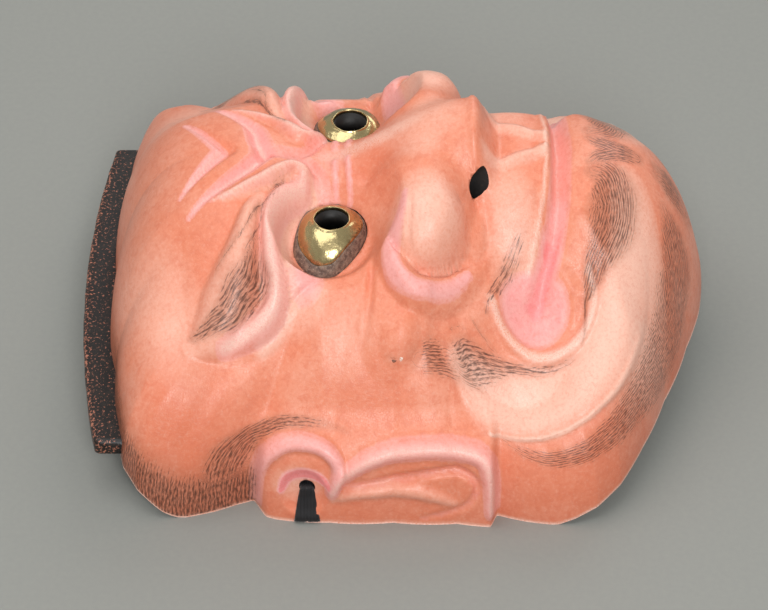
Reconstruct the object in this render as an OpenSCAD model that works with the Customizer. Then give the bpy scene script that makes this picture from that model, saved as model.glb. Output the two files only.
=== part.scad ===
// Demon-type noh mask: one carved and painted cypress shell with gilt eye caps
// bedded in putty, and a silk cord tied through a hole in each ear.
// The mask lies on its back: X is across the face, Y runs up it, Z comes out of it.

/* [Carved shell] */
// Width across the ears
mask_w = 175; // [153:1:198]
// Height from chin to top band
mask_h = 200; // [180:1:225]
// Depth from the resting edge to the nose tip
mask_d = 100; // [90:1:110]
// Thickness of the wood behind the face
wall = 9; // [8:0.5:12]
// Width of the edge that the mask rests on
rim_w = 8; // [7:0.5:11]
// How far the edge rises at the chin
chin_lift = 20; // [14:1:24]
// How far the edge rises at the top band
top_lift = 16; // [10:1:19]
// How much lower the left eye and brow are carved
left_drop = 5.5; // [0:0.5:7]

/* [Relief] */
// Height of the brows and eyelid rolls, 1 as carved
brow_relief = 1; // [0.6:0.05:1.2]
// Height of the nose crest above the cheeks
nose_h = 22.5; // [16:0.5:26]
// Height of the nose wings above the cheeks
wing_h = 15.5; // [12:0.5:18]
// Depth of the pressed mouth
mouth_depth = 5; // [3:0.5:6.5]
// Depth of the forehead folds
fold_depth = 3; // [1.5:0.25:4]
// How far the ears stand out
ear_h = 5.5; // [4:0.5:7]

/* [Top band] */
// Width of the black band beyond the forehead
band_w = 9; // [6:0.5:12]
// Thickness of the band
band_th = 6; // [4:0.5:8]
// Half length of the band
band_half = 71.5; // [60:0.5:73]

/* [Eyes] */
// Distance of each eye from the middle
eye_x = 24; // [23:0.25:25]
// Height of the right eye up the face
eye_y = 19.3; // [18.3:0.25:20.3]
// Radius that the eye caps are domed to
cap_r = 15; // [14.6:0.1:16]
// Sheet thickness of the gilt caps
cap_th = 1; // [0.6:0.1:1.4]
// Diameter of the round pupils
pupil_d = 10.8; // [8:0.2:12]
// Width of the putty bed round each cap
putty_w = 1.3; // [0.8:0.1:1.8]
// Gap between cap, putty and wood
seat_gap = 0.05; // [0.03:0.01:0.1]

/* [Holes and cords] */
// Height of the oval nostril bores
nostril_d = 4; // [3:0.5:6]
// Diameter of the cord hole in each ear
cord_hole_d = 5; // [4:0.25:6]
// Height of the cord hole up the face
cord_y = 27; // [24:0.5:30]
// Height of the cord hole above the resting edge
cord_z = 12; // [10:0.5:14]
// Width of the flat cord in the hole
cord_w = 4; // [3:0.25:4.5]
// Width of the flat cord where it spreads over the edge
cord_spread = 8.5; // [5:0.5:10]
// Thickness of the flat cord
cord_th = 1; // [0.8:0.1:1.4]
// Width of the knot inside
knot_d = 6; // [5:0.5:8]

/* [Hidden] */

// The relief is drawn on a carver's pattern of this size and stretched to the size asked for.
pattern = [175, 201.1, 100.2];
stretch = [mask_w / pattern.x, mask_h / pattern.y, mask_d / pattern.z];
crown_z = 76;          // height of the smooth block at the middle of the face
ball_z = 59;           // height of the middle of the sphere that the eye caps lie on
lid_slope = 0.31;      // fall of the eye openings towards the ears
face_cells = 64;       // mesh cells across the front
back_cells = face_cells / 2;

// Half outline of the resting edge on the pattern, from the top round to the chin.
half_outline = [[0, 89.6], [40, 88.6], [62, 87], [74, 84.8], [80.5, 80], [82.8, 73], [82.6, 65],
    [80, 56], [77.2, 49.7], [75, 44], [78, 37], [79.5, 20], [79.5, 0], [80, -20], [81.6, -32.5],
    [84.6, -42], [85.8, -50], [85.4, -57], [83.2, -64], [76.5, -71.5], [63, -79], [45.3, -86.5],
    [24, -94.6], [10, -99.2], [0, -100.6]];

// ---- small tools ----
function clamp(v) = max(0, min(1, v));
// Smooth change from 0 at a to 1 at b.
function ramp(a, b, v) = let (t = clamp((v - a) / (b - a))) t * t * (3 - 2 * t);
// Rounded mound: centre, radii, turn in degrees, height and edge sharpness (small is sharp).
function mound(x, y, c, r, turn, h, k) =
    let (dx = x - c.x, dy = y - c.y,
         u = (dx * cos(turn) + dy * sin(turn)) / r.x,
         v = (dy * cos(turn) - dx * sin(turn)) / r.y)
    h * pow(max(0, 1 - u * u - v * v), k);
// Smooth curve through points, each [x, y, half width, height].
function spline(p0, p1, p2, p3, t) = 0.5 * (2 * p1 + (p2 - p0) * t
    + (2 * p0 - 5 * p1 + 4 * p2 - p3) * t * t + (3 * p1 - p0 - 3 * p2 + p3) * t * t * t);
function curve(P, steps = 3) =
    let (n = len(P), Q = concat([2 * P[0] - P[1]], P, [2 * P[n - 1] - P[n - 2]]))
    concat([for (i = [1 : n - 1], j = [0 : steps - 1])
        spline(Q[i - 1], Q[i], Q[i + 1], Q[i + 2], j / steps)], [P[n - 1]]);
// A stroke of the gouge: its smooth centre line and the box that it can reach.
function stroke(P) = let (c = curve(P), w = max([for (p = c) p[2]]))
    [c, min([for (p = c) p.x]) - w, max([for (p = c) p.x]) + w,
        min([for (p = c) p.y]) - w, max([for (p = c) p.y]) + w];
// Distance to a stroke over its half width, and its height there: [distance, height].
function reach(x, y, c) =
    let (D = [for (i = [0 : len(c) - 2])
            let (a = c[i], d = c[i + 1] - a,
                 t = clamp(((x - a.x) * d.x + (y - a.y) * d.y) / (d.x * d.x + d.y * d.y)),
                 e = a + d * t)
            [norm([x - e.x, y - e.y]), e[2], e[3]]],
         m = min([for (e = D) e[0]]), n = [for (e = D) if (e[0] == m) e][0])
    [n[0] / max(n[1], 0.05), n[2]];
function misses(x, y, S) = x < S[1] || x > S[2] || y < S[3] || y > S[4];
// Raised round roll along a stroke.
function roll(x, y, S, k = 0.8) = misses(x, y, S) ? 0 :
    let (n = reach(x, y, S[0])) n[1] * pow(max(0, 1 - n[0] * n[0]), k);
// Cut of a V gouge along a stroke.
function gouge(x, y, S, k = 0.8) = misses(x, y, S) ? 0 :
    let (n = reach(x, y, S[0]), q = max(0, 1 - n[0])) -n[1] * pow(q * q * (3 - 2 * q), k);

// ---- the strokes, right half of the face, as [x, y, half width, height] ----
upper_fold = stroke([[18, 67, 0.6, 0.3], [9.5, 60, 1.9, 1.8], [0, 52.2, 3.4, 2.8]]);
lower_fold = stroke([[25, 64, 0.8, 0.4], [15.5, 53.5, 2.2, 2.2], [8, 46.2, 2.8, 2.8], [0, 40, 3.8, 3.2]]);
root_fold = stroke([[0, 42, 3.6, 2], [0, 33, 3, 2.4], [2.5, 27, 2.2, 2], [9, 23, 2.4, 2],
    [14, 20.5, 2.2, 1.2]]);
frown_roll = stroke([[22, 57, 0.8, 0.3], [19.5, 50.5, 1.7, 1.6], [15, 43, 2.4, 3],
    [10.5, 36.2, 2.8, 4], [8, 31.5, 2.8, 4.2], [9.2, 27.8, 2.6, 3.8], [12.8, 28.2, 2.4, 3.4]]);
brow = stroke([[20, 42, 2.2, 0.6], [27, 44.6, 3.6, 3.8], [35, 47, 5.2, 5.4],
    [42, 49.5, 7.4, 5.8], [49, 52, 9, 5], [55, 57, 7, 3.2], [59, 63.5, 3, 0.8]]);
lid_roll = stroke([[12.8, 28.5, 2.4, 3.4], [17.5, 34.5, 2.8, 4.2], [24, 37.8, 2.9, 4.4],
    [32, 38.6, 3, 4.4], [40, 38, 3.2, 4.4], [46, 36.6, 3.4, 4.4], [51, 37.5, 3.6, 4], [55.5, 44.5, 3, 2.6],
    [59, 53, 2, 0.4]]);
wrinkle_upper = stroke([[3, 18.6, 1.2, 0.9], [13, 18, 1.2, 1.2]]);
wrinkle_lower = stroke([[3, 14.4, 1.2, 0.9], [14, 13.4, 1.2, 1.2]]);
wing_roll = stroke([[24, 5, 2.2, 1], [29, 2.5, 3.4, 4], [35, 1, 4.4, 6], [42, -0.5, 4.8, 6.5],
    [48, -6.5, 4.8, 6], [47.5, -14.5, 4.4, 5], [42, -23, 3.4, 3], [37, -28, 2, 0.8]]);
cheek_cut = stroke([[30, 6.5, 1, 0.5], [40, 6.8, 1.6, 1.4], [50, 7.5, 1.8, 1.2], [60, 9.5, 1.4, 0.2]]);
philtrum = stroke([[10.5, -30.5, 2.4, 1], [7, -39, 2.4, 1.8], [3, -47.5, 2, 2]]);
mouth_cut = stroke([[0, -53.2, 3.4, 1], [18, -52.2, 3.4, 1], [30, -50, 3.2, 0.9], [37, -47.2, 3.6, 0.7],
    [43, -44.5, 4, 0.2]]);
lip_roll = stroke([[0, -53.8, 2.4, 2.2], [18, -52.8, 2.4, 2.2], [30, -50.6, 2.2, 1.8], [38, -47.2, 2, 0.4]]);
dimple = [43.5, -44.2];
dimple_rim = stroke([for (i = [0 : 9]) let (a = 75 - 190 * i / 9)
    [41 + 12.8 * cos(a), -46.3 + 16.2 * sin(a), 2.2, 0.33 + 1.87 * sin(20 * i)]]);
jowl = stroke([[60, -22, 5, 0.6], [64, -31, 9, 2], [65, -45, 11, 2.6], [62, -57, 11, 2.6],
    [53, -66, 10, 2.2], [40, -72, 8, 1.2], [28, -74, 6, 0.4]]);

// ---- the ear, drawn up the face and out from the resting edge ----
ear_curl = stroke([[43.5, 3, 2.4, 1], [42, 17, 2.8, 2.4], [36, 24.5, 3, 2.8], [28.5, 26.5, 3, 2.8],
    [21.5, 25, 2.8, 2.6], [17.2, 20, 2.6, 2.4], [18.6, 12, 2.2, 1.4]]);
ear_lobe = stroke([[19.5, 11, 2, 0.8], [15.6, 17, 2.6, 2.2], [5.8, 22.8, 3.2, 2.8], [-9.3, 25.5, 3.4, 3],
    [-19.3, 25, 3.4, 2.8], [-27.5, 23, 3.2, 2.4], [-30.4, 16.5, 3, 2], [-31, 5, 2.6, 0.8]]);
ear_cut = stroke([[15, 13.5, 1.2, 0.6], [1, 15.4, 1.8, 2], [-10, 17.8, 1.8, 2.2], [-19.4, 18.8, 1.8, 2.2],
    [-25, 16.4, 1.8, 1.8], [-25.8, 12, 1.6, 1.2], [-21, 6, 1.4, 0.9], [-9, 2.4, 1.2, 0.4]]);
ear_fold = stroke([[19, 9, 1.4, 0.6], [10.7, 11.2, 2, 1.4], [-4.3, 12.2, 2.6, 1.8], [-13, 10.4, 2.2, 1.4],
    [-19, 7.8, 1.4, 0.6]]);

// ---- the smooth block before the features are cut ----
outline_by_angle = [for (i = [len(half_outline) - 1 : -1 : 0])
    let (p = half_outline[i]) [atan2(p.y, p.x), norm(p)]];
function edge_radius(angle) = lookup(cos(angle) >= 0 ? angle : 180 - angle < 180 ? 180 - angle
    : -180 - angle, outline_by_angle);
function lift(y) = top_lift * ramp(66, 91, y) + chin_lift * clamp((-y - 52) / 47);
// Sides are round and the brow and chin square: a superellipse whose power grows towards both ends.
function squareness(s) = 2.3 + 3.7 * pow(s, 4.5);
function block(r, angle, inset) =
    let (R = edge_radius(angle) - inset, s = abs(sin(angle)), x = r * R * cos(angle),
         y = r * R * sin(angle), z0 = lift((R + inset) * sin(angle)), a = abs(x), open = clamp(4 - 4 * r))
    [x, y, z0 + (crown_z - z0) * pow(max(0, 1 - pow(r, squareness(s))), 0.54 - 0.04 * s * s)
        + mound(x, y, [0, 60], [52, 34], 0, 7, 1.2) + mound(x, y, [0, 24], [24, 22], 0, 2, 1)
        + mound(x, y, [0, -71], [42, 27], 0, 8, 1)
        - open * (mound(a, y, [58, -42], [40, 32], 0, 15, 1.2)
            + mound(a, y, [70, -52], [30, 36], 0, 11, 1)
            + mound(a, y, [66, 62], [44, 40], 0, 12, 1.2)
            + mound(a, y, [44, -78], [32, 26], 0, 6, 1.2))];

// ---- the features ----
function nose(x, y) =
    let (down = clamp((20 - y) / 44), under = ramp(-34, -24, y),
         crest = nose_h * pow(sin(90 * down), 1.3)
             * pow(max(0, 1 - pow(x / (8 + 13 * ramp(0, 1, down)), 2)), 0.9) * under,
         wing = mound(x, y, [31, -10], [12.4, 12.8], 0, wing_h, 0.55),
         side = mound(x, y, [16, -9], [24, 17.5], 0, wing_h, 0.9) * under, soft = 2.5)
    soft * ln(exp(crest / soft) + exp(side / soft) + exp(wing / soft) - 2)
    + roll(x, y, wing_roll, 0.75) * ramp(5, 0, wing);
function lid_rolls(x, y) = brow_relief * max(roll(x, y, lid_roll, 0.75), roll(x, y, frown_roll, 0.75));
function brows(x, y) = max(brow_relief * roll(x, y, brow), lid_rolls(x, y));
function forehead(x, y, yd) = fold_depth / 3 * (gouge(x, y, upper_fold) + gouge(x, yd, lower_fold)
    + gouge(x, y, root_fold)) + roll(x, y, wrinkle_upper) + roll(x, y, wrinkle_lower);
function cheek(x, y) = mound(x, y, [52, -1], [16, 12], 20, 2.8, 1.2)
    + mound(x, y, [58, -2], [7, 5.5], 60, 1.8, 1) + gouge(x, y, cheek_cut);
function mouth(x, y) = mound(x, y, [0, -40], [34, 17], 0, 7.5, 0.8) * ramp(-51.4, -49.2, y)
    + roll(x, y, philtrum) + mouth_depth * gouge(x, y, mouth_cut, 0.6) + roll(x, y, lip_roll)
    - mound(x, y, dimple, [10, 12.5], 0, 3.2, 1) + roll(x, y, dimple_rim, 0.9)
    + roll(x, y, jowl, 0.55);
function socket(x, yd) = -mound(x, yd, [eye_x + 3, eye_y], [20, 15], -15, 4, 0.8);
// The wood is cut back to the edge of the eye caps and rises to the lids round them.
function lid_level(a, yd) = ball_z + 7.2 - lid_slope * (a - eye_x) - 0.06 * (yd - eye_y);
function below_lids(z, a, yd) =
    let (d = max(0, norm([a - eye_x - 2.4, yd - eye_y - 0.6]) - 12.8),
         top = lid_level(a, yd) + d + 0.09 * d * d + lid_rolls(a, yd) * ramp(0, 3, d))
    min(z, top) - 0.8 * ln(1 + exp(-abs(z - top) / 0.8));
function ear(y, z) = ear_h * ramp(44.5, 39.5, y) * ramp(-33, -30.2, y) * ramp(37, 20, z)
    + roll(y, z, ear_curl) - mound(y, z, [28, 10.5], [7.5, 8], 0, 3, 0.8) + roll(y, z, ear_lobe)
    + gouge(y, z, ear_cut) + roll(y, z, ear_fold);
function relief(a, y, yd) = forehead(a, y, yd) + brows(a, yd) + socket(a, yd) + nose(a, y)
    + cheek(a, y) + mouth(a, y);
// Features grow straight out in the middle of the face and sideways near the edge.
function outward(p) =
    let (v = [sign(p.x) * ramp(30, 80, abs(p.x)), sign(p.y) * ramp(60, 98, abs(p.y)),
        clamp(p.z / 60) + 0.0001]) v / norm(v);

// ---- meshes ----
function stretched(p) = [p.x * stretch.x, p.y * stretch.y, p.z * stretch.z];
// A square grid bent into a disc, then domed: [share of the edge radius, angle, share along the arc].
function disc(s, t) = let (a = s * sqrt(1 - t * t / 2), b = t * sqrt(1 - s * s / 2),
    q = min(1, norm([a, b]))) [sin(90 * q), atan2(b, a), q];
function face_point(s, t) =
    let (d = disc(s, t), p = block(d[0], d[1], 0), a = abs(p.x),
         yd = p.y + (p.x > 0 ? left_drop * ramp(2, 14, a) : 0), inner = ramp(1, 0.93, d[2]))
    let (q = p + outward(p) * (relief(a, p.y, yd) * inner + ear(p.y, p.z) * ramp(60, 76, a)))
    stretched([q.x, q.y, below_lids(q.z, a, yd)]);
function back_point(s, t) =
    let (d = disc(s, t), p = block(d[0], d[1], rim_w), a = abs(p.x), depth = 1 - pow(d[0], 4),
         yd = p.y + (p.x > 0 ? left_drop * ramp(2, 14, a) : 0))
    stretched([p.x, p.y, p.z - wall * depth - mound(a, yd, [24, 21], [24, 22], 0, 10, 0.6)
        + 6 * mound(p.x, p.y, [0, -12], [28, 20], 0, 1, 1) * depth]);
function index(i, j, n, first) = first + i * (n + 1) + j;
function sheet(n, first, flip) = [for (i = [0 : n - 1], j = [0 : n - 1])
    let (a = index(i, j, n, first), b = index(i + 1, j, n, first), c = index(i + 1, j + 1, n, first),
         d = index(i, j + 1, n, first), cross = (i < n / 2) == (j < n / 2))
    each (flip ? (cross ? [[a, b, c], [a, c, d]] : [[a, b, d], [b, c, d]])
        : (cross ? [[a, c, b], [a, d, c]] : [[a, d, b], [b, d, c]]))];
// Edge of a grid, walked round once.
function border(n, first) = concat([for (i = [0 : n - 1]) index(i, 0, n, first)],
    [for (j = [0 : n - 1]) index(n, j, n, first)], [for (i = [n : -1 : 1]) index(i, n, n, first)],
    [for (j = [n : -1 : 1]) index(0, j, n, first)]);
// The resting edge joins two cells of the front to one of the back.
function rim_faces(outer, inner) = let (m = len(inner)) [for (i = [0 : m - 1])
    let (a = outer[2 * i], b = outer[2 * i + 1], c = outer[(2 * i + 2) % (2 * m)],
         p = inner[i], q = inner[(i + 1) % m]) each [[a, b, p], [b, q, p], [b, c, q]]];

module carved_block() {
    front = [for (i = [0 : face_cells], j = [0 : face_cells])
        face_point(2 * i / face_cells - 1, 2 * j / face_cells - 1)];
    back = [for (i = [0 : back_cells], j = [0 : back_cells])
        back_point(2 * i / back_cells - 1, 2 * j / back_cells - 1)];
    first = len(front);
    polyhedron(concat(front, back), concat(sheet(face_cells, 0, false), sheet(back_cells, first, true),
        rim_faces(border(face_cells, 0), border(back_cells, first))), convexity = 10);
}

// ---- top band ----
module top_band() {
    arc_r = 390 * stretch.y;
    top_y = 100.5 * stretch.y;
    translate([0, 0, top_lift * stretch.z]) linear_extrude(band_th) intersection() {
        translate([0, top_y - arc_r]) circle(r = arc_r, $fn = 96);
        translate([-band_half, top_y - band_w - 6.5]) square([2 * band_half, band_w + 7]);
    }
}

// ---- eyes ----
// Outline of the eye opening about the middle of the cap; the cap is inset by the putty.
eye_outline = [[-9.6, 4.5], [-10.2, -0.5], [-8.8, -6], [-5, -10], [0.5, -11], [7.5, -7.9],
    [14, -1.8], [15, 2.8], [13.6, 7], [8.8, 11], [3, 12], [-5.2, 9.8]];
gold_r = 14;           // reach of the gilt cap towards its outer corner; putty fills the rest
floor_drop = 3.2;      // depth of the eye seat under the lids
putty_spread = 1.07;   // how much flatter than the cap the putty lies
function ring_curve(P, steps = 3) = let (n = len(P)) [for (i = [0 : n - 1], j = [0 : steps - 1])
    spline(P[(i + n - 1) % n], P[i], P[(i + 1) % n], P[(i + 2) % n], j / steps)];
module eye_place(side) translate([side * eye_x * stretch.x,
    (eye_y - (side > 0 ? left_drop : 0)) * stretch.y, ball_z * stretch.z]) scale([side, 1, 1]) children();
module opening_shape(inset) polygon([for (p = ring_curve(eye_outline)) p * (1 - inset / 10.5)]);
module gold_shape(gap) intersection() {
    opening_shape(putty_w - gap);
    circle(r = gold_r + gap, $fn = 64);
}
// Everything above the sloping floor of the seat.
module above_floor(gap) translate([0, 0, 7.2 - floor_drop + gap]) rotate([0, atan(lid_slope), 0])
    translate([-40, -40, 0]) cube([80, 80, 40]);
module cap_body() difference() {
    intersection() {
        sphere(r = cap_r, $fn = 96);
        linear_extrude(cap_r + 1) gold_shape(0);
    }
    sphere(r = cap_r - cap_th, $fn = 96);
    cylinder(d = pupil_d, h = 2 * cap_r, $fn = 64);
}
module putty_body() difference() {
    intersection() {
        scale([putty_spread, putty_spread, 1]) sphere(r = cap_r - 0.3, $fn = 96);
        linear_extrude(cap_r) opening_shape(seat_gap);
        above_floor(seat_gap);
    }
    translate([0, 0, -1]) linear_extrude(cap_r + 2) gold_shape(seat_gap);
}
module seat_cut() intersection() {
    translate([0, 0, -6]) linear_extrude(3 * cap_r) opening_shape(0);
    above_floor(0);
}
module seat_ball() intersection() {
    sphere(r = cap_r - cap_th - seat_gap, $fn = 96);
    linear_extrude(cap_r) gold_shape(0);
}

// ---- holes ----
module pupil_bore() translate([0, 0, -25]) cylinder(d = pupil_d - 0.8, h = 50, $fn = 48);
nostril_at = [17.6, -27.4, 83];
nostril_lean = 50;     // the bores run up into the hollow of the nose
nostril_oval = 1.9;    // width over height
nostril_turn = 45;     // turn of the oval, down towards the ears
module nostril_bore(side)
    translate([side * nostril_at.x * stretch.x, nostril_at.y * stretch.y, nostril_at.z * stretch.z])
        rotate([nostril_lean, 0, 0]) rotate([0, 0, -side * nostril_turn])
            scale([nostril_oval, 1, 1]) translate([0, 0, -36]) cylinder(d = nostril_d, h = 56, $fn = 48);
module cord_hole(side)
    translate([side * 60 * stretch.x, cord_y * stretch.y, cord_z])
        rotate([0, side * 90, 0]) cylinder(d = cord_hole_d, h = 40, $fn = 48);

// ---- cords ----
ear_edge_x = 85.2;     // outer face of the ear on the pattern at the resting edge
ear_bowl_x = 80.6;     // and beside the cord hole
inner_edge_x = 71.6;   // inner face of the wall at the resting edge
wall_lean = 3;         // how far the wall leans in from there up to the cord hole
knot_turn = 2;         // thickness of the cord's turn round the knot
// Flat cord seen along the face: out of the hole, over the edge and up inside.
module cord_ring(grow) {
    low = -1 - grow;
    difference() {
        polygon([[ear_edge_x * stretch.x + cord_th + grow, 0], [ear_bowl_x * stretch.x + cord_th + grow,
            cord_z + cord_th / 2 + grow], [inner_edge_x * stretch.x - wall_lean - cord_th - grow,
            cord_z + cord_th / 2 + grow], [inner_edge_x * stretch.x - cord_th - grow, 0]]);
        polygon([[ear_edge_x * stretch.x - grow, cord_th + grow], [ear_bowl_x * stretch.x - grow,
            cord_z - cord_th / 2 - grow], [inner_edge_x * stretch.x - wall_lean + grow,
            cord_z - cord_th / 2 - grow], [inner_edge_x * stretch.x + grow, cord_th + grow]]);
    }
}
module cord_solid(side, grow) translate([0, cord_y * stretch.y, 0]) intersection() {
    rotate([90, 0, 0]) linear_extrude(2 * cord_spread, center = true)
        scale([side, 1]) cord_ring(grow);
    rotate([90, 0, 90]) linear_extrude(2 * mask_w, center = true)
        polygon([[-cord_spread / 2 - grow, -1], [cord_spread / 2 + grow, -1],
            [cord_w / 2 + grow, cord_z + 3 * cord_th], [-cord_w / 2 - grow, cord_z + 3 * cord_th]]);
}
module cord_loop(side) cord_solid(side, 0);
module cord_knot(side)
    translate([side * (inner_edge_x * stretch.x - wall_lean - cord_th - knot_d / 2 - 0.3),
        cord_y * stretch.y, cord_z]) union() {
        sphere(d = knot_d, $fn = 32);
        rotate([0, 35, 90]) rotate_extrude($fn = 32) translate([knot_d / 2 - 0.8, 0])
            circle(d = knot_turn, $fn = 16);
    }

// ---- pieces ----
module carved_shell() color("darksalmon") difference() {
    union() {
        difference() {
            union() {
                carved_block();
                top_band();
            }
            for (side = [-1, 1]) eye_place(side) seat_cut();
        }
        for (side = [-1, 1]) eye_place(side) seat_ball();
    }
    for (side = [-1, 1]) {
        eye_place(side) pupil_bore();
        nostril_bore(side);
        cord_hole(side);
        cord_solid(side, seat_gap);
    }
}
module eye_cap_right() color("goldenrod") eye_place(-1) cap_body();
module eye_cap_left() color("goldenrod") eye_place(1) cap_body();
module eye_putty_right() color("dimgray") eye_place(-1) putty_body();
module eye_putty_left() color("dimgray") eye_place(1) putty_body();
module cord_loop_right() color([0.1, 0.1, 0.1]) cord_loop(-1);
module cord_loop_left() color([0.1, 0.1, 0.1]) cord_loop(1);
module cord_knot_right() color([0.1, 0.1, 0.1]) cord_knot(-1);
module cord_knot_left() color([0.1, 0.1, 0.1]) cord_knot(1);

carved_shell();
eye_cap_right();
eye_cap_left();
eye_putty_right();
eye_putty_left();
cord_loop_right();
cord_loop_left();
cord_knot_right();
cord_knot_left();
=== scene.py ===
"""Noh mask of the glaring demon type: looks, camera and studio.

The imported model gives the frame. Each piece is worked out with numpy in millimetres, on the same
carver's pattern as the CAD source, and goes into its mesh in metres.
"""
from __future__ import annotations

import logging
import math
from dataclasses import dataclass, field
from enum import Enum
from functools import cached_property
from typing import Any, Sequence

import bmesh
import bpy
import numpy as np
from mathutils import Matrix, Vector
from mathutils.bvhtree import BVHTree


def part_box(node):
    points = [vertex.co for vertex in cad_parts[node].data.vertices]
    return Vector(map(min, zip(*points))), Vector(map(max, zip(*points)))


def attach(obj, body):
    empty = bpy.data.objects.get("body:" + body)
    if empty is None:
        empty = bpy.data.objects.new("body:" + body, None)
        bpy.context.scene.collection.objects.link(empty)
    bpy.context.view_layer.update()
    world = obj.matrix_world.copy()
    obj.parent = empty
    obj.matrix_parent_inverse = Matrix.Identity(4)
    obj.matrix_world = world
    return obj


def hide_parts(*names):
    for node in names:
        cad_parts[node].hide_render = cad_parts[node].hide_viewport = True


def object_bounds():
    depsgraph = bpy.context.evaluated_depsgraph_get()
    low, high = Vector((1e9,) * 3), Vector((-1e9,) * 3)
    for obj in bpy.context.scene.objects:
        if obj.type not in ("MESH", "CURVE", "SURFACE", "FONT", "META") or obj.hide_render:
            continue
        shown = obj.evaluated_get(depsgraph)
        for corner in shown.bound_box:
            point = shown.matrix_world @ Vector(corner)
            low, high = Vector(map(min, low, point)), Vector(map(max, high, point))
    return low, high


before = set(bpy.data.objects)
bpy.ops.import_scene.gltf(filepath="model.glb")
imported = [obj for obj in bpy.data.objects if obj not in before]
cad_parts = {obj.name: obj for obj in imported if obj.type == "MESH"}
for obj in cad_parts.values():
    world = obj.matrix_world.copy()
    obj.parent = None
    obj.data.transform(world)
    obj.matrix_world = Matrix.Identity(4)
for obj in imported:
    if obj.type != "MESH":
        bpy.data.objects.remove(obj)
CAD_BOX = [list(corner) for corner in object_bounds()]

LOG = logging.getLogger("noh_mask")
MM = 0.001
Array = np.ndarray
Points = Sequence[Sequence[float]]
Pair = tuple[float, float]
Triple = tuple[float, float, float]
Piece = bpy.types.Object
Look = bpy.types.Material
Socket = bpy.types.NodeSocket


class Side(Enum):
    """The mask's own right and left, as the sign of x."""

    RIGHT = -1
    LEFT = 1

    @property
    def word(self) -> str:
        """The side's name as the nodes spell it."""
        return self.name.lower()


class Paint(Enum):
    """Slots of the shell: painted front, lacquered back and the black inside of a hole."""

    FRONT = 0
    BACK = 1
    BORE = 2


# ---- shapes on the pattern


def ease(low: float, high: float, value: Array) -> Array:
    """Smooth change from 0 at low to 1 at high: t*t*(3 - 2t).

    Args:
        low: value at which the change starts.
        high: value at which it ends.
        value: where to work it out.

    Returns:
        The share, from 0 to 1.
    """
    share = np.clip((value - low) / (high - low), 0, 1)
    return share * share * (3 - 2 * share)


def mound(x: Array, y: Array, centre: Sequence[float], radii: Sequence[float], turn: float,
          height: float, sharp: float) -> Array:
    """Rounded mound: height times (1 - u*u - v*v) to the power sharp, on an ellipse turned by turn.

    Args:
        x: positions across.
        y: positions up.
        centre: middle of the ellipse.
        radii: its two half widths.
        turn: its turn in degrees.
        height: height in the middle.
        sharp: below 1 the edge is steep, above 1 it fades out.

    Returns:
        Heights, 0 outside the ellipse.
    """
    cos, sin = math.cos(math.radians(turn)), math.sin(math.radians(turn))
    along = ((x - centre[0]) * cos + (y - centre[1]) * sin) / radii[0]
    across = ((y - centre[1]) * cos - (x - centre[0]) * sin) / radii[1]
    return height * np.maximum(0, 1 - along * along - across * across) ** sharp


def spline(points: Points, steps: int = 5, closed: bool = False) -> Array:
    """Catmull-Rom curve through points, worked out as one array.

    Args:
        points: points of any number of values each.
        steps: stretches between two points.
        closed: True for a ring.

    Returns:
        The points of the finer line.
    """
    given = np.asarray(points, float)
    if closed:
        padded = np.vstack([given[-1], given, given[0], given[1]])
    else:
        padded = np.vstack([2 * given[0] - given[1], given, 2 * given[-1] - given[-2]])
    count = len(given) if closed else len(given) - 1
    t = (np.arange(steps) / steps)[None, :, None]
    a, b, c, d = (padded[i:i + count][:, None, :] for i in range(4))
    line = 0.5 * (2 * b + (c - a) * t + (2 * a - 5 * b + 4 * c - d) * t ** 2
                  + (3 * b - a - 3 * c + d) * t ** 3).reshape(-1, given.shape[1])
    return line if closed else np.vstack([line, given[-1]])


@dataclass(frozen=True)
class Reach:
    """How a stroke reaches a set of places."""

    ratio: Array
    height: Array
    across: Array
    along: Array


@dataclass(frozen=True)
class Stroke:
    """A stroke of gouge or brush: points of x, y, half width and height on a smooth line."""

    points: Points
    steps: int = 5

    def reach(self, x: Array, y: Array) -> Reach:
        """Nearest place on the line, segment by segment over whole arrays.

        Args:
            x: positions across.
            y: positions up.

        Returns:
            Distance over half width, height there, signed distance, and length along the line.
        """
        line = spline(self.points, self.steps)
        steps = np.hypot(*(line[1:, :2] - line[:-1, :2]).T)
        travelled = np.r_[0, np.cumsum(steps)]
        best = np.full(x.shape, 1e9)
        width, height = np.ones(x.shape), np.zeros(x.shape)
        across, along = np.zeros(x.shape), np.zeros(x.shape)
        for i, start in enumerate(line[:-1]):
            way = line[i + 1] - start
            t = np.clip(((x - start[0]) * way[0] + (y - start[1]) * way[1])
                        / (way[0] ** 2 + way[1] ** 2 + 1e-12), 0, 1)
            off_x, off_y = x - start[0] - t * way[0], y - start[1] - t * way[1]
            distance = np.hypot(off_x, off_y)
            near = distance < best
            best = np.where(near, distance, best)
            width = np.where(near, start[2] + t * way[2], width)
            height = np.where(near, start[3] + t * way[3], height)
            across = np.where(near, np.sign(way[0] * off_y - way[1] * off_x) * distance, across)
            along = np.where(near, travelled[i] + t * steps[i], along)
        return Reach(best / np.maximum(width, 0.05), height, across, along)

    def roll(self, x: Array, y: Array, sharp: float = 0.8) -> Array:
        """Raised round roll: height times (1 - ratio squared) to the power sharp."""
        at = self.reach(x, y)
        return at.height * np.maximum(0, 1 - at.ratio ** 2) ** sharp

    def gouge(self, x: Array, y: Array, sharp: float = 0.8) -> Array:
        """Cut of a V gouge: minus height times the eased rest of the width.

        Args:
            x: positions across.
            y: positions up.
            sharp: below 1 the cut is steep at its edges.

        Returns:
            Heights, 0 or less.
        """
        at = self.reach(x, y)
        rest = np.maximum(0, 1 - at.ratio)
        return -at.height * (rest * rest * (3 - 2 * rest)) ** sharp


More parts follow.
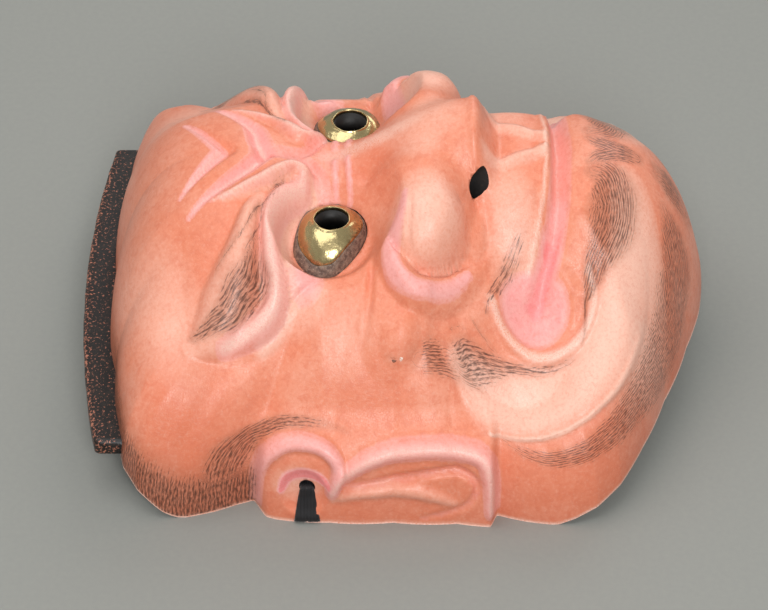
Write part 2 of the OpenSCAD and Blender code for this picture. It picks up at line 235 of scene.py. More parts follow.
@dataclass
class CarverPattern:
    """The carver's pattern: the same sizes, outline, strokes and formulas as the CAD source.

    All in millimetres on the pattern as drawn, which stretch brings to the size asked for. Strokes of
    the face run in a and y, those of the ear in y and z. The grooves from rope_groove to jowl_edge are
    only this finer surface's, and bowl_arc, upper_pink and crescent are only paint.
    """

    mask_w: float = 175
    mask_h: float = 200
    mask_d: float = 100
    drawn: Triple = (175, 201.1, 100.2)
    wall: float = 9
    rim_w: float = 8
    chin_lift: float = 20
    top_lift: float = 16
    left_drop: float = 5.5
    nose_h: float = 22.5
    nose_top: float = 20
    nose_length: float = 44
    nose_half: float = 8
    nose_flare: float = 13
    nose_soft: float = 2.5
    wing_h: float = 15.5
    wing_at: Pair = (31, -10)
    wing_radii: Pair = (12.4, 12.8)
    mouth_depth: float = 5
    ear_h: float = 5.5
    eye_x: float = 24
    eye_y: float = 19.3
    crown_z: float = 76
    ball_z: float = 59
    lid_slope: float = 0.31
    lid_z: float = 7.2
    lid_soft: float = 0.8
    seat_r: float = 12.8
    tip_room: float = 4.2
    tip_soft: float = 4
    scoop_pitch: Pair = (12, 9)
    scoop_radii: Pair = (7.6, 5.6)
    scoop_depth: float = 0.55
    dimple: Pair = (43.5, -44.2)
    half_outline: Points = (
        (0, 89.6), (40, 88.6), (62, 87), (74, 84.8), (80.5, 80), (82.8, 73), (82.6, 65), (80, 56),
        (77.2, 49.7), (75, 44), (78, 37), (79.5, 20), (79.5, 0), (80, -20), (81.6, -32.5), (84.6, -42),
        (85.8, -50), (85.4, -57), (83.2, -64), (76.5, -71.5), (63, -79), (45.3, -86.5), (24, -94.6),
        (10, -99.2), (0, -100.6))
    strokes: dict[str, Stroke] = field(default_factory=lambda: {
        "upper_fold": Stroke(((18, 67, 0.6, 0.3), (9.5, 60, 1.9, 1.8), (0, 52.2, 3.4, 2.8))),
        "lower_fold": Stroke(((25, 64, 0.8, 0.4), (15.5, 53.5, 2.2, 2.2), (8, 46.2, 2.8, 2.8),
            (0, 40, 3.8, 3.2))),
        "root_fold": Stroke(((0, 42, 3.6, 2), (0, 33, 3, 2.4), (2.5, 27, 2.2, 2), (9, 23, 2.4, 2),
            (14, 20.5, 2.2, 1.2))),
        "frown_roll": Stroke(((22, 57, 0.8, 0.3), (19.5, 50.5, 1.7, 1.6), (15, 43, 2.4, 3),
            (10.5, 36.2, 2.8, 4), (8, 31.5, 2.8, 4.2), (9.2, 27.8, 2.6, 3.8), (12.8, 28.2, 2.4, 3.4))),
        "brow": Stroke(((20, 42, 2.2, 0.6), (27, 44.6, 3.6, 3.8), (35, 47, 5.2, 5.4),
            (42, 49.5, 7.4, 5.8), (49, 52, 9, 5), (55, 57, 7, 3.2), (59, 63.5, 3, 0.8))),
        "lid_roll": Stroke(((12.8, 28.5, 2.4, 3.4), (17.5, 34.5, 2.8, 4.2), (24, 37.8, 2.9, 4.4),
            (32, 38.6, 3, 4.4), (40, 38, 3.2, 4.4), (46, 36.6, 3.4, 4.4), (51, 37.5, 3.6, 4),
            (55.5, 44.5, 3, 2.6), (59, 53, 2, 0.4))),
        "wrinkle_upper": Stroke(((3, 18.6, 1.2, 0.9), (13, 18, 1.2, 1.2))),
        "wrinkle_lower": Stroke(((3, 14.4, 1.2, 0.9), (14, 13.4, 1.2, 1.2))),
        "wing_roll": Stroke(((24, 5, 2.2, 1), (29, 2.5, 3.4, 4), (35, 1, 4.4, 6), (42, -0.5, 4.8, 6.5),
            (48, -6.5, 4.8, 6), (47.5, -14.5, 4.4, 5), (42, -23, 3.4, 3), (37, -28, 2, 0.8))),
        "cheek_cut": Stroke(((30, 6.5, 1, 0.5), (40, 6.8, 1.6, 1.4), (50, 7.5, 1.8, 1.2),
            (60, 9.5, 1.4, 0.2))),
        "philtrum": Stroke(((10.5, -30.5, 2.4, 1), (7, -39, 2.4, 1.8), (3, -47.5, 2, 2))),
        "mouth_cut": Stroke(((0, -53.2, 3.4, 1), (18, -52.2, 3.4, 1), (30, -50, 3.2, 0.9),
            (37, -47.2, 3.6, 0.7), (43, -44.5, 4, 0.2))),
        "lip_roll": Stroke(((0, -53.8, 2.4, 2.2), (18, -52.8, 2.4, 2.2), (30, -50.6, 2.2, 1.8),
            (38, -47.2, 2, 0.4))),
        "jowl": Stroke(((60, -22, 5, 0.6), (64, -31, 9, 2), (65, -45, 11, 2.6), (62, -57, 11, 2.6),
            (53, -66, 10, 2.2), (40, -72, 8, 1.2), (28, -74, 6, 0.4))),
        "rope_groove": Stroke(((21, 53, 0.8, 0.3), (18.5, 45, 1, 0.8), (14.5, 38.5, 1, 1),
            (12, 34.5, 1, 1), (13, 32.8, 0.9, 0.9), (19.5, 37, 1, 1), (25.5, 39.8, 1.1, 1),
            (31, 41.4, 1.1, 0.9), (38, 41.5, 1.1, 0.9), (46.5, 40, 1.2, 1), (50, 41.5, 1.2, 0.9),
            (55, 48, 1, 0.3))),
        "lid_groove": Stroke(((10.5, 24.5, 0.8, 0.3), (14.5, 26.5, 1, 0.8), (17.5, 30.8, 1.1, 1),
            (22, 33.3, 1.2, 1), (30, 34.6, 1.2, 1), (38, 34.2, 1.2, 1), (45, 32.8, 1.2, 1),
            (49, 32.2, 1.1, 0.9), (54, 36, 1, 0.6), (58, 41, 0.8, 0.2))),
        "lid_crease": Stroke(((49, 31.5, 0.9, 0.9), (46.2, 28.4, 1, 1), (42.7, 22.1, 1, 0.8),
            (37.5, 17.8, 0.8, 0.2))),
        "wing_groove": Stroke(((28, -5, 0.8, 0.2), (31.5, -5.4, 1, 0.8), (36.7, -4.6, 1.1, 1),
            (41, -5.8, 1.1, 1), (43.2, -9.8, 1.1, 1), (42, -16, 1.1, 1), (37.5, -24, 1, 0.5))),
        "wing_edge": Stroke(((25, 2, 0.8, 0.2), (34, 2.4, 1, 0.3), (43.5, 1.4, 1.1, 0.4),
            (50, -3, 1.2, 0.4), (52, -9.6, 1.1, 0.4), (48.5, -17.8, 1, 0.3), (44.5, -24, 0.8, 0.2))),
        "nostril_fold": Stroke(((15.5, -26, 0.8, 0.2), (20, -28.8, 1.1, 0.8), (26, -29.5, 1.2, 1),
            (33, -28.8, 1.2, 1), (40, -24.5, 1, 0.4))),
        "rim_line": Stroke(((0, -48.2, 0.7, 0.5), (12, -47.8, 0.8, 0.7), (24, -46.2, 0.8, 0.7),
            (32.5, -43.8, 0.8, 0.5), (36, -42.3, 0.6, 0.2))),
        "jowl_edge": Stroke(((73, -30, 0.5, 0.05), (74.8, -36, 0.8, 0.4), (75.5, -43, 1.1, 0.8),
            (75.2, -53, 1.1, 0.8), (72, -61, 1.1, 0.8), (66, -67.5, 1.1, 0.7), (57.5, -73, 1, 0.5),
            (48.5, -77, 0.8, 0.2))),
        "ear_curl": Stroke(((43.5, 3, 2.4, 1), (42, 17, 2.8, 2.4), (36, 24.5, 3, 2.8),
            (28.5, 26.5, 3, 2.8), (21.5, 25, 2.8, 2.6), (17.2, 20, 2.6, 2.4), (18.6, 12, 2.2, 1.4))),
        "ear_lobe": Stroke(((19.5, 11, 2, 0.8), (15.6, 17, 2.6, 2.2), (5.8, 22.8, 3.2, 2.8),
            (-9.3, 25.5, 3.4, 3), (-19.3, 25, 3.4, 2.8), (-27.5, 23, 3.2, 2.4), (-30.4, 16.5, 3, 2),
            (-31, 5, 2.6, 0.8))),
        "ear_cut": Stroke(((15, 13.5, 1.2, 0.6), (1, 15.4, 1.8, 2), (-10, 17.8, 1.8, 2.2),
            (-19.4, 18.8, 1.8, 2.2), (-25, 16.4, 1.8, 1.8), (-25.8, 12, 1.6, 1.2), (-21, 6, 1.4, 0.9),
            (-9, 2.4, 1.2, 0.4))),
        "ear_fold": Stroke(((19, 9, 1.4, 0.6), (10.7, 11.2, 2, 1.4), (-4.3, 12.2, 2.6, 1.8),
            (-13, 10.4, 2.2, 1.4), (-19, 7.8, 1.4, 0.6))),
        "bowl_arc": Stroke(((35, 11, 1.2, 1), (33, 15, 1.8, 1), (28.6, 16.6, 2, 1), (24, 16, 1.8, 1),
            (20.5, 13.5, 1.2, 1))),
        "upper_pink": Stroke(((18, 67, 0.7, 1), (9.5, 61.2, 1.8, 1), (0, 54.8, 2.5, 1))),
        "crescent": Stroke(((26, -3.6, 1, 1), (31, -2, 2.2, 1), (35.5, 0, 3, 1), (40.5, 0.9, 3, 1),
            (45.5, -0.9, 2.7, 1), (48.8, -6.4, 2.4, 1), (48.4, -13, 2.2, 1), (45.6, -18.8, 2, 1),
            (41.5, -23.4, 1.4, 1))),
        # an arc of 190 degrees round the dimple, highest halfway
        "dimple_rim": Stroke([(41 + 12.8 * math.cos(math.radians(75 - 190 * i / 9)),
                               -46.3 + 16.2 * math.sin(math.radians(75 - 190 * i / 9)), 2.2,
                               0.33 + 1.87 * math.sin(math.radians(20 * i))) for i in range(10)]),
    })

    @property
    def stretch(self) -> Array:
        """Size asked for over the pattern's size, along X, Y and Z."""
        return np.array([self.mask_w, self.mask_h, self.mask_d]) / self.drawn

    def edge_radius(self, angle: Array) -> Array:
        """Radius of the outline at an angle in degrees, read off the half outline by angle.

        Args:
            angle: directions in degrees.

        Returns:
            Radii in millimetres on the pattern.
        """
        outline = np.array(self.half_outline[::-1])
        folded = np.where(np.cos(np.radians(angle)) >= 0, angle,
                          np.where(angle > 0, 180 - angle, -180 - angle))
        return np.interp(folded, np.degrees(np.arctan2(outline[:, 1], outline[:, 0])),
                         np.hypot(outline[:, 0], outline[:, 1]))

    def lift(self, y: Array) -> Array:
        """Height of the resting edge: eased up at the forehead, straight up towards the chin."""
        return self.top_lift * ease(66, 91, y) + self.chin_lift * np.clip((-y - 52) / 47, 0, 1)

    def block(self, share: Array, angle: Array, inset: float) -> tuple[Array, Array, Array]:
        """The smooth block: a superellipse dome over the outline, with a few broad mounds.

        Height is edge + (crown - edge) * (1 - share**p)**k, p growing from 2.3 at the sides to 6 at
        the forehead and chin.

        Args:
            share: distance from the middle over the edge radius.
            angle: direction in degrees.
            inset: how far the edge is set in.

        Returns:
            x, y and z in millimetres on the pattern.
        """
        radius = self.edge_radius(angle) - inset
        sine = np.abs(np.sin(np.radians(angle)))
        x = share * radius * np.cos(np.radians(angle))
        y = share * radius * np.sin(np.radians(angle))
        edge = self.lift((radius + inset) * np.sin(np.radians(angle)))
        dome = np.maximum(0, 1 - share ** (2.3 + 3.7 * sine ** 4.5)) ** (0.54 - 0.04 * sine * sine)
        a, inside = np.abs(x), np.clip(4 - 4 * share, 0, 1)
        forehead = mound(x, y, (0, 60), (52, 34), 0, 7, 1.2)
        nose_root = mound(x, y, (0, 24), (24, 22), 0, 2, 1)
        chin = mound(x, y, (0, -71), (42, 27), 0, 8, 1)
        cheek_hollow = mound(a, y, (58, -42), (40, 32), 0, 15, 1.2)
        jaw_hollow = mound(a, y, (70, -52), (30, 36), 0, 11, 1)
        temple_hollow = mound(a, y, (66, 62), (44, 40), 0, 12, 1.2)
        chin_hollow = mound(a, y, (44, -78), (32, 26), 0, 6, 1.2)
        z = (edge + (self.crown_z - edge) * dome + forehead + nose_root + chin
             - inside * (cheek_hollow + jaw_hollow + temple_hollow + chin_hollow))
        return x, y, z

    def nose(self, x: Array, y: Array) -> Array:
        """Crest, wings and sides of the nose joined by a soft maximum, and the roll round the wing.

        The crest rises as a sine from the nose's top to its length and is an arch across. The soft
        maximum is soft * log(sum of exp(height / soft) - 2).

        Args:
            x: positions across.
            y: positions up.

        Returns:
            Heights in millimetres.
        """
        down, under = np.clip((self.nose_top - y) / self.nose_length, 0, 1), ease(-34, -24, y)
        half = self.nose_half + self.nose_flare * ease(0, 1, down)
        crest = (self.nose_h * np.sin(np.radians(90 * down)) ** 1.3
                 * np.maximum(0, 1 - (x / half) ** 2) ** 0.9 * under)
        wing = mound(x, y, self.wing_at, self.wing_radii, 0, self.wing_h, 0.55)
        side = mound(x, y, (16, -9), (24, 17.5), 0, self.wing_h, 0.9) * under
        soft = self.nose_soft
        joined = soft * np.log(np.exp(crest / soft) + np.exp(side / soft) + np.exp(wing / soft) - 2)
        return joined + self.strokes["wing_roll"].roll(x, y, 0.75) * ease(5, 0, wing)

    def lid_rolls(self, a: Array, lowered: Array) -> Array:
        """Height of the lid's roll and of the frown that runs on from it."""
        return np.maximum(self.strokes["lid_roll"].roll(a, lowered, 0.75),
                          self.strokes["frown_roll"].roll(a, lowered, 0.75))

    def features(self, a: Array, y: Array, lowered: Array) -> Array:
        """Height of all features over the smooth block.

        Args:
            a: distance from the middle line.
            y: height up the face.
            lowered: y with the left eye's drop added.

        Returns:
            Heights in millimetres.
        """
        s = self.strokes
        folds = (s["upper_fold"].gouge(a, y) + s["lower_fold"].gouge(a, lowered)
                 + s["root_fold"].gouge(a, y) + s["wrinkle_upper"].roll(a, y)
                 + s["wrinkle_lower"].roll(a, y))
        brows = np.maximum(s["brow"].roll(a, lowered), self.lid_rolls(a, lowered))
        socket = -mound(a, lowered, (self.eye_x + 3, self.eye_y), (20, 15), -15, 4, 0.8)
        cheek = (mound(a, y, (52, -1), (16, 12), 20, 2.8, 1.2)
                 + mound(a, y, (58, -2), (7, 5.5), 60, 1.8, 1) + s["cheek_cut"].gouge(a, y))
        mouth = (mound(a, y, (0, -40), (34, 17), 0, 7.5, 0.8) * ease(-51.4, -49.2, y)
                 + s["philtrum"].roll(a, y) + self.mouth_depth * s["mouth_cut"].gouge(a, y, 0.6)
                 + s["lip_roll"].roll(a, y) - mound(a, y, self.dimple, (10, 12.5), 0, 3.2, 1)
                 + s["dimple_rim"].roll(a, y, 0.9) + s["jowl"].roll(a, y, 0.55))
        fine = (sum(s[name].gouge(a, lowered) for name in ("rope_groove", "lid_groove", "lid_crease"))
                + sum(s[name].gouge(a, y) for name in ("wing_groove", "wing_edge", "nostril_fold"))
                + s["rim_line"].roll(a, y) + s["jowl_edge"].roll(a, y))
        return folds + brows + socket + self.nose(a, y) + cheek + mouth + fine

    def ear(self, y: Array, z: Array) -> Array:
        """Height of the ear over the side wall, drawn up the face and out from the edge.

        Args:
            y: positions up the face.
            z: heights above the resting edge.

        Returns:
            Heights in millimetres.
        """
        s = self.strokes
        return (self.ear_h * ease(44.5, 39.5, y) * ease(-33, -30.2, y) * ease(37, 20, z)
                + s["ear_curl"].roll(y, z) - mound(y, z, (28, 10.5), (7.5, 8), 0, 3, 0.8)
                + s["ear_lobe"].roll(y, z) + s["ear_cut"].gouge(y, z) + s["ear_fold"].roll(y, z))

    def lowered(self, x: Array, y: Array) -> Array:
        """y with the left eye's drop added on the left half."""
        return y + np.where(x > 0, self.left_drop * ease(2, 14, np.abs(x)), 0)

    def below_lids(self, z: Array, a: Array, lowered: Array) -> Array:
        """Wood cut back to the edge of the eye caps, rising to the lids: a soft minimum.

        The limit is a sloping plane within the seat's radius. Outside it, it rises by off + 0.09 off^2.

        Args:
            z: heights of the carved front.
            a: distance from the middle line.
            lowered: y with the left eye's drop added.

        Returns:
            Heights in millimetres.
        """
        soft = self.lid_soft
        off = np.maximum(0, np.hypot(a - self.eye_x - 2.4, lowered - self.eye_y - 0.6) - self.seat_r)
        top = (self.ball_z + self.lid_z - self.lid_slope * (a - self.eye_x)
               - 0.06 * (lowered - self.eye_y) + off + 0.09 * off * off
               + self.lid_rolls(a, lowered) * ease(0, 3, off))
        return np.minimum(z, top) - soft * np.log(1 + np.exp(-np.abs(z - top) / soft))


@dataclass(frozen=True)
class FaceSheet:
    """Front of the mask on a square grid bent into a disc, with the places it was drawn from."""

    points: Array
    chart: Array
    a: Array
    y: Array
    z: Array
    lowered: Array
    edge_share: Array


def disc_grid(cells: int, middle: float = 0.82) -> tuple[Array, Array]:
    """Square grid bent into the unit disc: a = s*sqrt(1 - t*t/2), b = t*sqrt(1 - s*s/2).

    The cells are finer in the middle, where the features are: s = u*(middle + (1 - middle)*u*u).

    Args:
        cells: cells along one side.
        middle: size of the middle cells over the mean size.

    Returns:
        The disc's two coordinates, one value a grid point.
    """
    u = np.linspace(-1, 1, cells + 1)
    s, t = np.meshgrid(*[u * (middle + (1 - middle) * u * u)] * 2, indexing="ij")
    return s * np.sqrt(1 - t * t / 2), t * np.sqrt(1 - s * s / 2)


def carve_front(pattern: CarverPattern, cells: int) -> FaceSheet:
    """Front surface: the block's point plus the features along an outward direction.

    Features grow straight out in the middle of the face and sideways near the edge. The nose's tip
    is rounded off below the CAD box: what stands over it by h keeps soft * (1 - exp(-h/soft)).

    Args:
        pattern: the carver's pattern.
        cells: cells along one side of the grid.

    Returns:
        The sheet, with its points in millimetres.
    """
    disc_a, disc_b = disc_grid(cells)
    share = np.minimum(1, np.hypot(disc_a, disc_b))
    x, y, z = pattern.block(np.sin(np.radians(90 * share)), np.degrees(np.arctan2(disc_b, disc_a)), 0)
    a, lowered = np.abs(x), pattern.lowered(x, y)
    way = np.stack([np.sign(x) * ease(30, 80, a), np.sign(y) * ease(60, 98, np.abs(y)),
                    np.clip(z / 60, 0, 1) + 1e-4], -1)
    height = (pattern.features(a, y, lowered) * ease(1, 0.93, share)
              + pattern.ear(y, z) * ease(60, 76, a))
    points = np.stack([x, y, z], -1) + unit(way) * height[..., None]
    points[..., 2] = pattern.below_lids(points[..., 2], a, lowered)
    tip = CAD_BOX[1][2] / MM / pattern.stretch[2] - pattern.tip_room
    over, soft = np.maximum(0, points[..., 2] - tip), pattern.tip_soft
    points[..., 2] -= over - soft * (1 - np.exp(-over / soft))
    chart = 100 * np.stack([np.abs(disc_a), disc_b], -1)
    return FaceSheet(points * pattern.stretch, chart, a, y, z, lowered, share)


def carve_back(pattern: CarverPattern, cells: int) -> Array:
    """Hollow of the mask: the block set in by the wall, with the marks of a flat gouge.

    The marks are the depth of the nearest of many shallow scoops, laid out in rows.

    Args:
        pattern: the carver's pattern.
        cells: cells along one side of the grid.

    Returns:
        Points in millimetres.
    """
    disc_a, disc_b = disc_grid(cells)
    share = np.sin(np.radians(90 * np.minimum(1, np.hypot(disc_a, disc_b))))
    x, y, z = pattern.block(share, np.degrees(np.arctan2(disc_b, disc_a)), pattern.rim_w)
    a, depth, lowered = np.abs(x), 1 - share ** 4, pattern.lowered(x, y)
    pitch_x, pitch_y = pattern.scoop_pitch
    row = np.round(y / pitch_y)
    beside = x + pitch_x / 2 * (row % 2)
    scoop = np.hypot((beside - pitch_x * np.round(beside / pitch_x)) / pattern.scoop_radii[0],
                     (y - pitch_y * row) / pattern.scoop_radii[1])
    z = (z - pattern.wall * depth - mound(a, lowered, (24, 21), (24, 22), 0, 10, 0.6)
         + 6 * mound(x, y, (0, -12), (28, 20), 0, 1, 1) * depth
         + pattern.scoop_depth * np.clip(1 - scoop ** 2, 0, 1) * ease(1, 0.9, share))
    return np.stack([x, y, z], -1) * pattern.stretch


# ---- meshes


def grid_faces(rows: int, columns: int, first: int, flip: bool, around: bool = False) -> Array:
    """Quads of a grid of points, row by row.

    Args:
        rows: points along the first way.
        columns: points along the second way.
        first: index of the first point.
        flip: True turns the faces over.
        around: True closes the second way into a ring.

    Returns:
        Four indices a face.
    """
    i, j = np.meshgrid(np.arange(rows - 1), np.arange(columns if around else columns - 1),
                       indexing="ij")
    after = (j + 1) % columns
    quads = np.stack([i * columns + j, (i + 1) * columns + j, (i + 1) * columns + after,
                      i * columns + after], -1).reshape(-1, 4) + first
    return quads[:, ::-1] if flip else quads


def sweep_faces(rings: int, sides: int, joined: bool, flip: bool = False) -> tuple[Array, Array]:
    """Faces of rings of points along a sweep, and the seam or the fans that close it.

    Args:
        rings: rings along the sweep.
        sides: points round each ring.
        joined: True joins the last ring to the first, False closes each end with a fan round one of
            the two end points that come after the rings.
        flip: True turns the quads over.

    Returns:
        Quads, and quads of the seam or triangles of the fans.
    """
    quads = grid_faces(rings, sides, 0, flip, around=True)
    j, last, start = np.arange(sides), (rings - 1) * sides, rings * sides
    after = (j + 1) % sides
    if joined:
        return quads, np.stack([last + j, j, after, last + after], -1)
    return quads, np.vstack([np.stack([np.full(sides, start), j, after], -1),
                             np.stack([np.full(sides, start + 1), last + after, last + j], -1)])


def circle(steps: int) -> Array:
    """Angles in radians of even steps round a circle."""
    return np.arange(steps) * 2 * math.pi / steps


def unit(ways: Array) -> Array:
    """Vectors made one long."""
    return ways / np.linalg.norm(ways, axis=-1, keepdims=True)


def border(cells: int, first: int) -> Array:
    """Indices round the edge of a square grid, walked once.

    Args:
        cells: cells along one side.
        first: index of the grid's first point.

    Returns:
        One index a point.
    """
    run, side = np.arange(cells), cells + 1
    return first + np.concatenate([run * side, cells * side + run, (cells - run) * side + cells,
                                   cells - run])


def make_mesh(name: str, points: Array, faces: Sequence[Array], slots: Sequence[int],
              finishes: Sequence[Look], smooth: bool = True) -> Piece:
    """Puts points in millimetres and groups of faces into a new object at the origin.

    Args:
        name: the piece's name.
        points: one row a vertex, in millimetres.
        faces: groups of faces, three or four indices a face in each group.
        slots: the material slot of each group.
        finishes: the materials, in slot order.
        smooth: True for smooth shading.

    Returns:
        The object.
    """
    mesh = bpy.data.meshes.new(name)
    vertices = np.asarray(points, float).reshape(-1, 3) * MM
    loops = np.concatenate([group.ravel() for group in faces])
    sizes = np.concatenate([np.full(len(group), group.shape[1]) for group in faces])
    starts = np.r_[0, np.cumsum(sizes)[:-1]]
    mesh.vertices.add(len(vertices))
    mesh.vertices.foreach_set("co", vertices.ravel())
    mesh.loops.add(len(loops))
    mesh.loops.foreach_set("vertex_index", loops.astype(np.int32))
    mesh.polygons.add(len(sizes))
    mesh.polygons.foreach_set("loop_start", starts.astype(np.int32))
    mesh.polygons.foreach_set("material_index", np.concatenate(
        [np.full(len(group), slot, np.int32) for group, slot in zip(faces, slots)]))
    mesh.polygons.foreach_set("use_smooth", np.full(len(sizes), smooth))
    for finish in finishes:
        mesh.materials.append(finish)
    mesh.update(calc_edges=True)
    mesh.validate()
    piece = bpy.data.objects.new(name, mesh)
    bpy.context.scene.collection.objects.link(piece)
    return piece


def outward(piece: Piece) -> None:
    """Turns every face of each closed island outwards.

    Args:
        piece: the object.
    """
    mesh = bmesh.new()
    mesh.from_mesh(piece.data)
    bmesh.ops.recalc_face_normals(mesh, faces=mesh.faces)
    mesh.to_mesh(piece.data)
    mesh.free()
    piece.data.update()


def closed_piece(name: str, points: Array, faces: Sequence[Array], finish: Look) -> Piece:
    """Makes a closed mesh of one finish, its faces outwards.

    Args:
        name: the piece's name.
        points: one row a vertex, in millimetres.
        faces: groups of faces.
        finish: its material.

    Returns:
        The object.
    """
    piece = make_mesh(name, points, faces, [0] * len(faces), [finish])
    outward(piece)
    return piece


def paint_corners(piece: Piece, name: str, values: Array) -> None:
    """Writes four values a vertex to the mesh's corners, where a cut keeps them.

    Args:
        piece: the object.
        name: the attribute's name.
        values: four values a vertex.
    """
    mesh = piece.data
    corner = np.empty(len(mesh.loops), np.int32)
    mesh.loops.foreach_get("vertex_index", corner)
    layer = mesh.color_attributes.new(name=name, type="FLOAT_COLOR", domain="CORNER")
    layer.data.foreach_set("color", values[corner].astype(np.float32).ravel())


def cut_away(piece: Piece, cutters: Sequence[Piece]) -> None:
    """Cuts solids out of a piece and removes them, one after the other.

    Args:
        piece: the object that is cut.
        cutters: closed solids.
    """
    for cutter in cutters:
        modifier = piece.modifiers.new("cut", "BOOLEAN")
        modifier.operation, modifier.object, modifier.solver = "DIFFERENCE", cutter, "EXACT"
        modifier.material_mode = "INDEX"
        bpy.context.view_layer.objects.active = piece
        bpy.ops.object.modifier_apply(modifier=modifier.name)
        bpy.data.objects.remove(cutter)


def tube(path: Array, radii: Array, sides: int = 24) -> tuple[Array, Array, Array]:
    """Round bar along a path, closed by a fan at each end.

    Args:
        path: points in millimetres.
        radii: radius at each point.
        sides: points round the bar.

    Returns:
        Points, side quads and end triangles.
    """
    way, turn = unit(np.gradient(path, axis=0)), circle(sides)
    helper = np.where(np.abs(way[:, 2:]) > 0.9, [[1.0, 0, 0]], [[0, 0, 1.0]])
    right = unit(np.cross(way, helper))
    up = np.cross(right, way)
    ring = (np.cos(turn)[None, :, None] * right[:, None] + np.sin(turn)[None, :, None] * up[:, None])
    points = (path[:, None] + ring * radii[:, None, None]).reshape(-1, 3)
    points = np.vstack([points, path[0], path[-1]])
    return points, *sweep_faces(len(path), sides, False, flip=True)


# ---- finishes


def linear(code: str) -> tuple[float, float, float, float]:
    """sRGB hex colour turned to linear light.

    Args:
        code: a colour such as "ef9a7c".

    Returns:
        Linear red, green, blue and an alpha of 1.
    """
    parts = [int(code[i:i + 2], 16) / 255 for i in (0, 2, 4)]
    return (*[p / 12.92 if p <= 0.04045 else ((p + 0.055) / 1.055) ** 2.4 for p in parts], 1.0)


class Kind(Enum):
    """Kinds of shader node: type, own settings, the inputs that are filled in turn, and the output."""

    PRINCIPLED = ("ShaderNodeBsdfPrincipled", {}, (), 0)
    OUTPUT = ("ShaderNodeOutputMaterial", {}, ("Surface",), None)
    TIMES = ("ShaderNodeMath", {"operation": "MULTIPLY"}, (0, 1), 0)
    PLUS = ("ShaderNodeMath", {"operation": "ADD"}, (0, 1), 0)
    MINUS = ("ShaderNodeMath", {"operation": "SUBTRACT"}, (0, 1), 0)
    LARGER = ("ShaderNodeMath", {"operation": "MAXIMUM"}, (0, 1), 0)
    SINE = ("ShaderNodeMath", {"operation": "SINE"}, (0,), 0)
    MIX = ("ShaderNodeMix", {"data_type": "RGBA"}, (0, 6, 7), 2)
    STEP = ("ShaderNodeMapRange", {"interpolation_type": "SMOOTHSTEP"},
            ("From Min", "From Max", "Value", "To Max"), 0)
    NOISE = ("ShaderNodeTexNoise", {}, ("Vector", "Scale", "Detail", "Roughness", "Distortion"), 0)
    CRACKS = ("ShaderNodeTexVoronoi", {"feature": "DISTANCE_TO_EDGE"}, ("Vector", "Scale"), "Distance")
    BUMP = ("ShaderNodeBump", {}, ("Height", "Distance", "Normal"), 0)
    PLACE = ("ShaderNodeTexCoord", {}, (), "Object")
    STRETCH = ("ShaderNodeMapping", {"vector_type": "POINT"}, ("Vector", "Scale"), 0)
    JOIN = ("ShaderNodeCombineXYZ", {}, ("X", "Y"), 0)
    ATTRIBUTE = ("ShaderNodeAttribute", {}, (), "Color")
    SPLIT = ("ShaderNodeSeparateColor", {}, ("Color",), 0)


class Graph:
    """Node tree of one material, with one way to add a node.

    Noise and cracks take so many waves a metre, written as waves a millimetre over MM. A step rises
    smoothly from 0 at its first value to 1 at its second, or to a fourth value if given.
    """

    def __init__(self, name: str) -> None:
        """Starts a material of that name with a Principled shader on its output.

        Args:
            name: the material's name.
        """
        self.material = bpy.data.materials.new(name)
        self.material.use_nodes = True
        self.tree = self.material.node_tree
        self.tree.nodes.clear()
        surface = self.add(Kind.PRINCIPLED)
        self.add(Kind.OUTPUT, surface)
        self.shader = surface.node

    def add(self, kind: Kind, *values: Any, **settings: Any) -> Socket | None:
        """Adds a node, sets its properties and fills or links its inputs.

        Args:
            kind: the kind of node.
            values: a value, a socket or a hex colour for each of the kind's inputs in turn.
            settings: values of the node's own properties besides the kind's.

        Returns:
            The node's output, or None where it has none.
        """
        node_type, own, inputs, output = kind.value
        node = self.tree.nodes.new(node_type)
        for name, setting in {**own, **settings}.items():
            setattr(node, name, setting)
        for name, value in zip(inputs, values):
            self.fill(node.inputs[name], value)
        return None if output is None else node.outputs[output]

    def fill(self, socket: Socket, value: Any) -> None:
        """Links a socket to another, or sets its value, where text is a hex colour.

        Args:
            socket: the input.
            value: a socket, a number, a vector or a hex colour.
        """
        if isinstance(value, Socket):
            self.tree.links.new(value, socket)
        else:
            socket.default_value = linear(value) if isinstance(value, str) else value

    @cached_property
    def place(self) -> Socket:
        """Object coordinates, in metres."""
        return self.add(Kind.PLACE)

    def channels(self, name: str) -> tuple[Socket, ...]:
        """The four values of one of the mesh's own attributes.

        Args:
            name: the attribute's name.

        Returns:
            Their sockets.
        """
        colour = self.add(Kind.ATTRIBUTE, attribute_name=name)
        split = self.add(Kind.SPLIT, colour).node
        return (*split.outputs[:3], colour.node.outputs["Alpha"])

    def finish(self, **inputs: Any) -> Look:
        """Fills the Principled shader's inputs.

        Args:
            inputs: values or sockets by input name, spaces written as _.

        Returns:
            The material.
        """
        for name, value in inputs.items():
            self.fill(self.shader.inputs[name.replace("_", " ")], value)
        return self.material


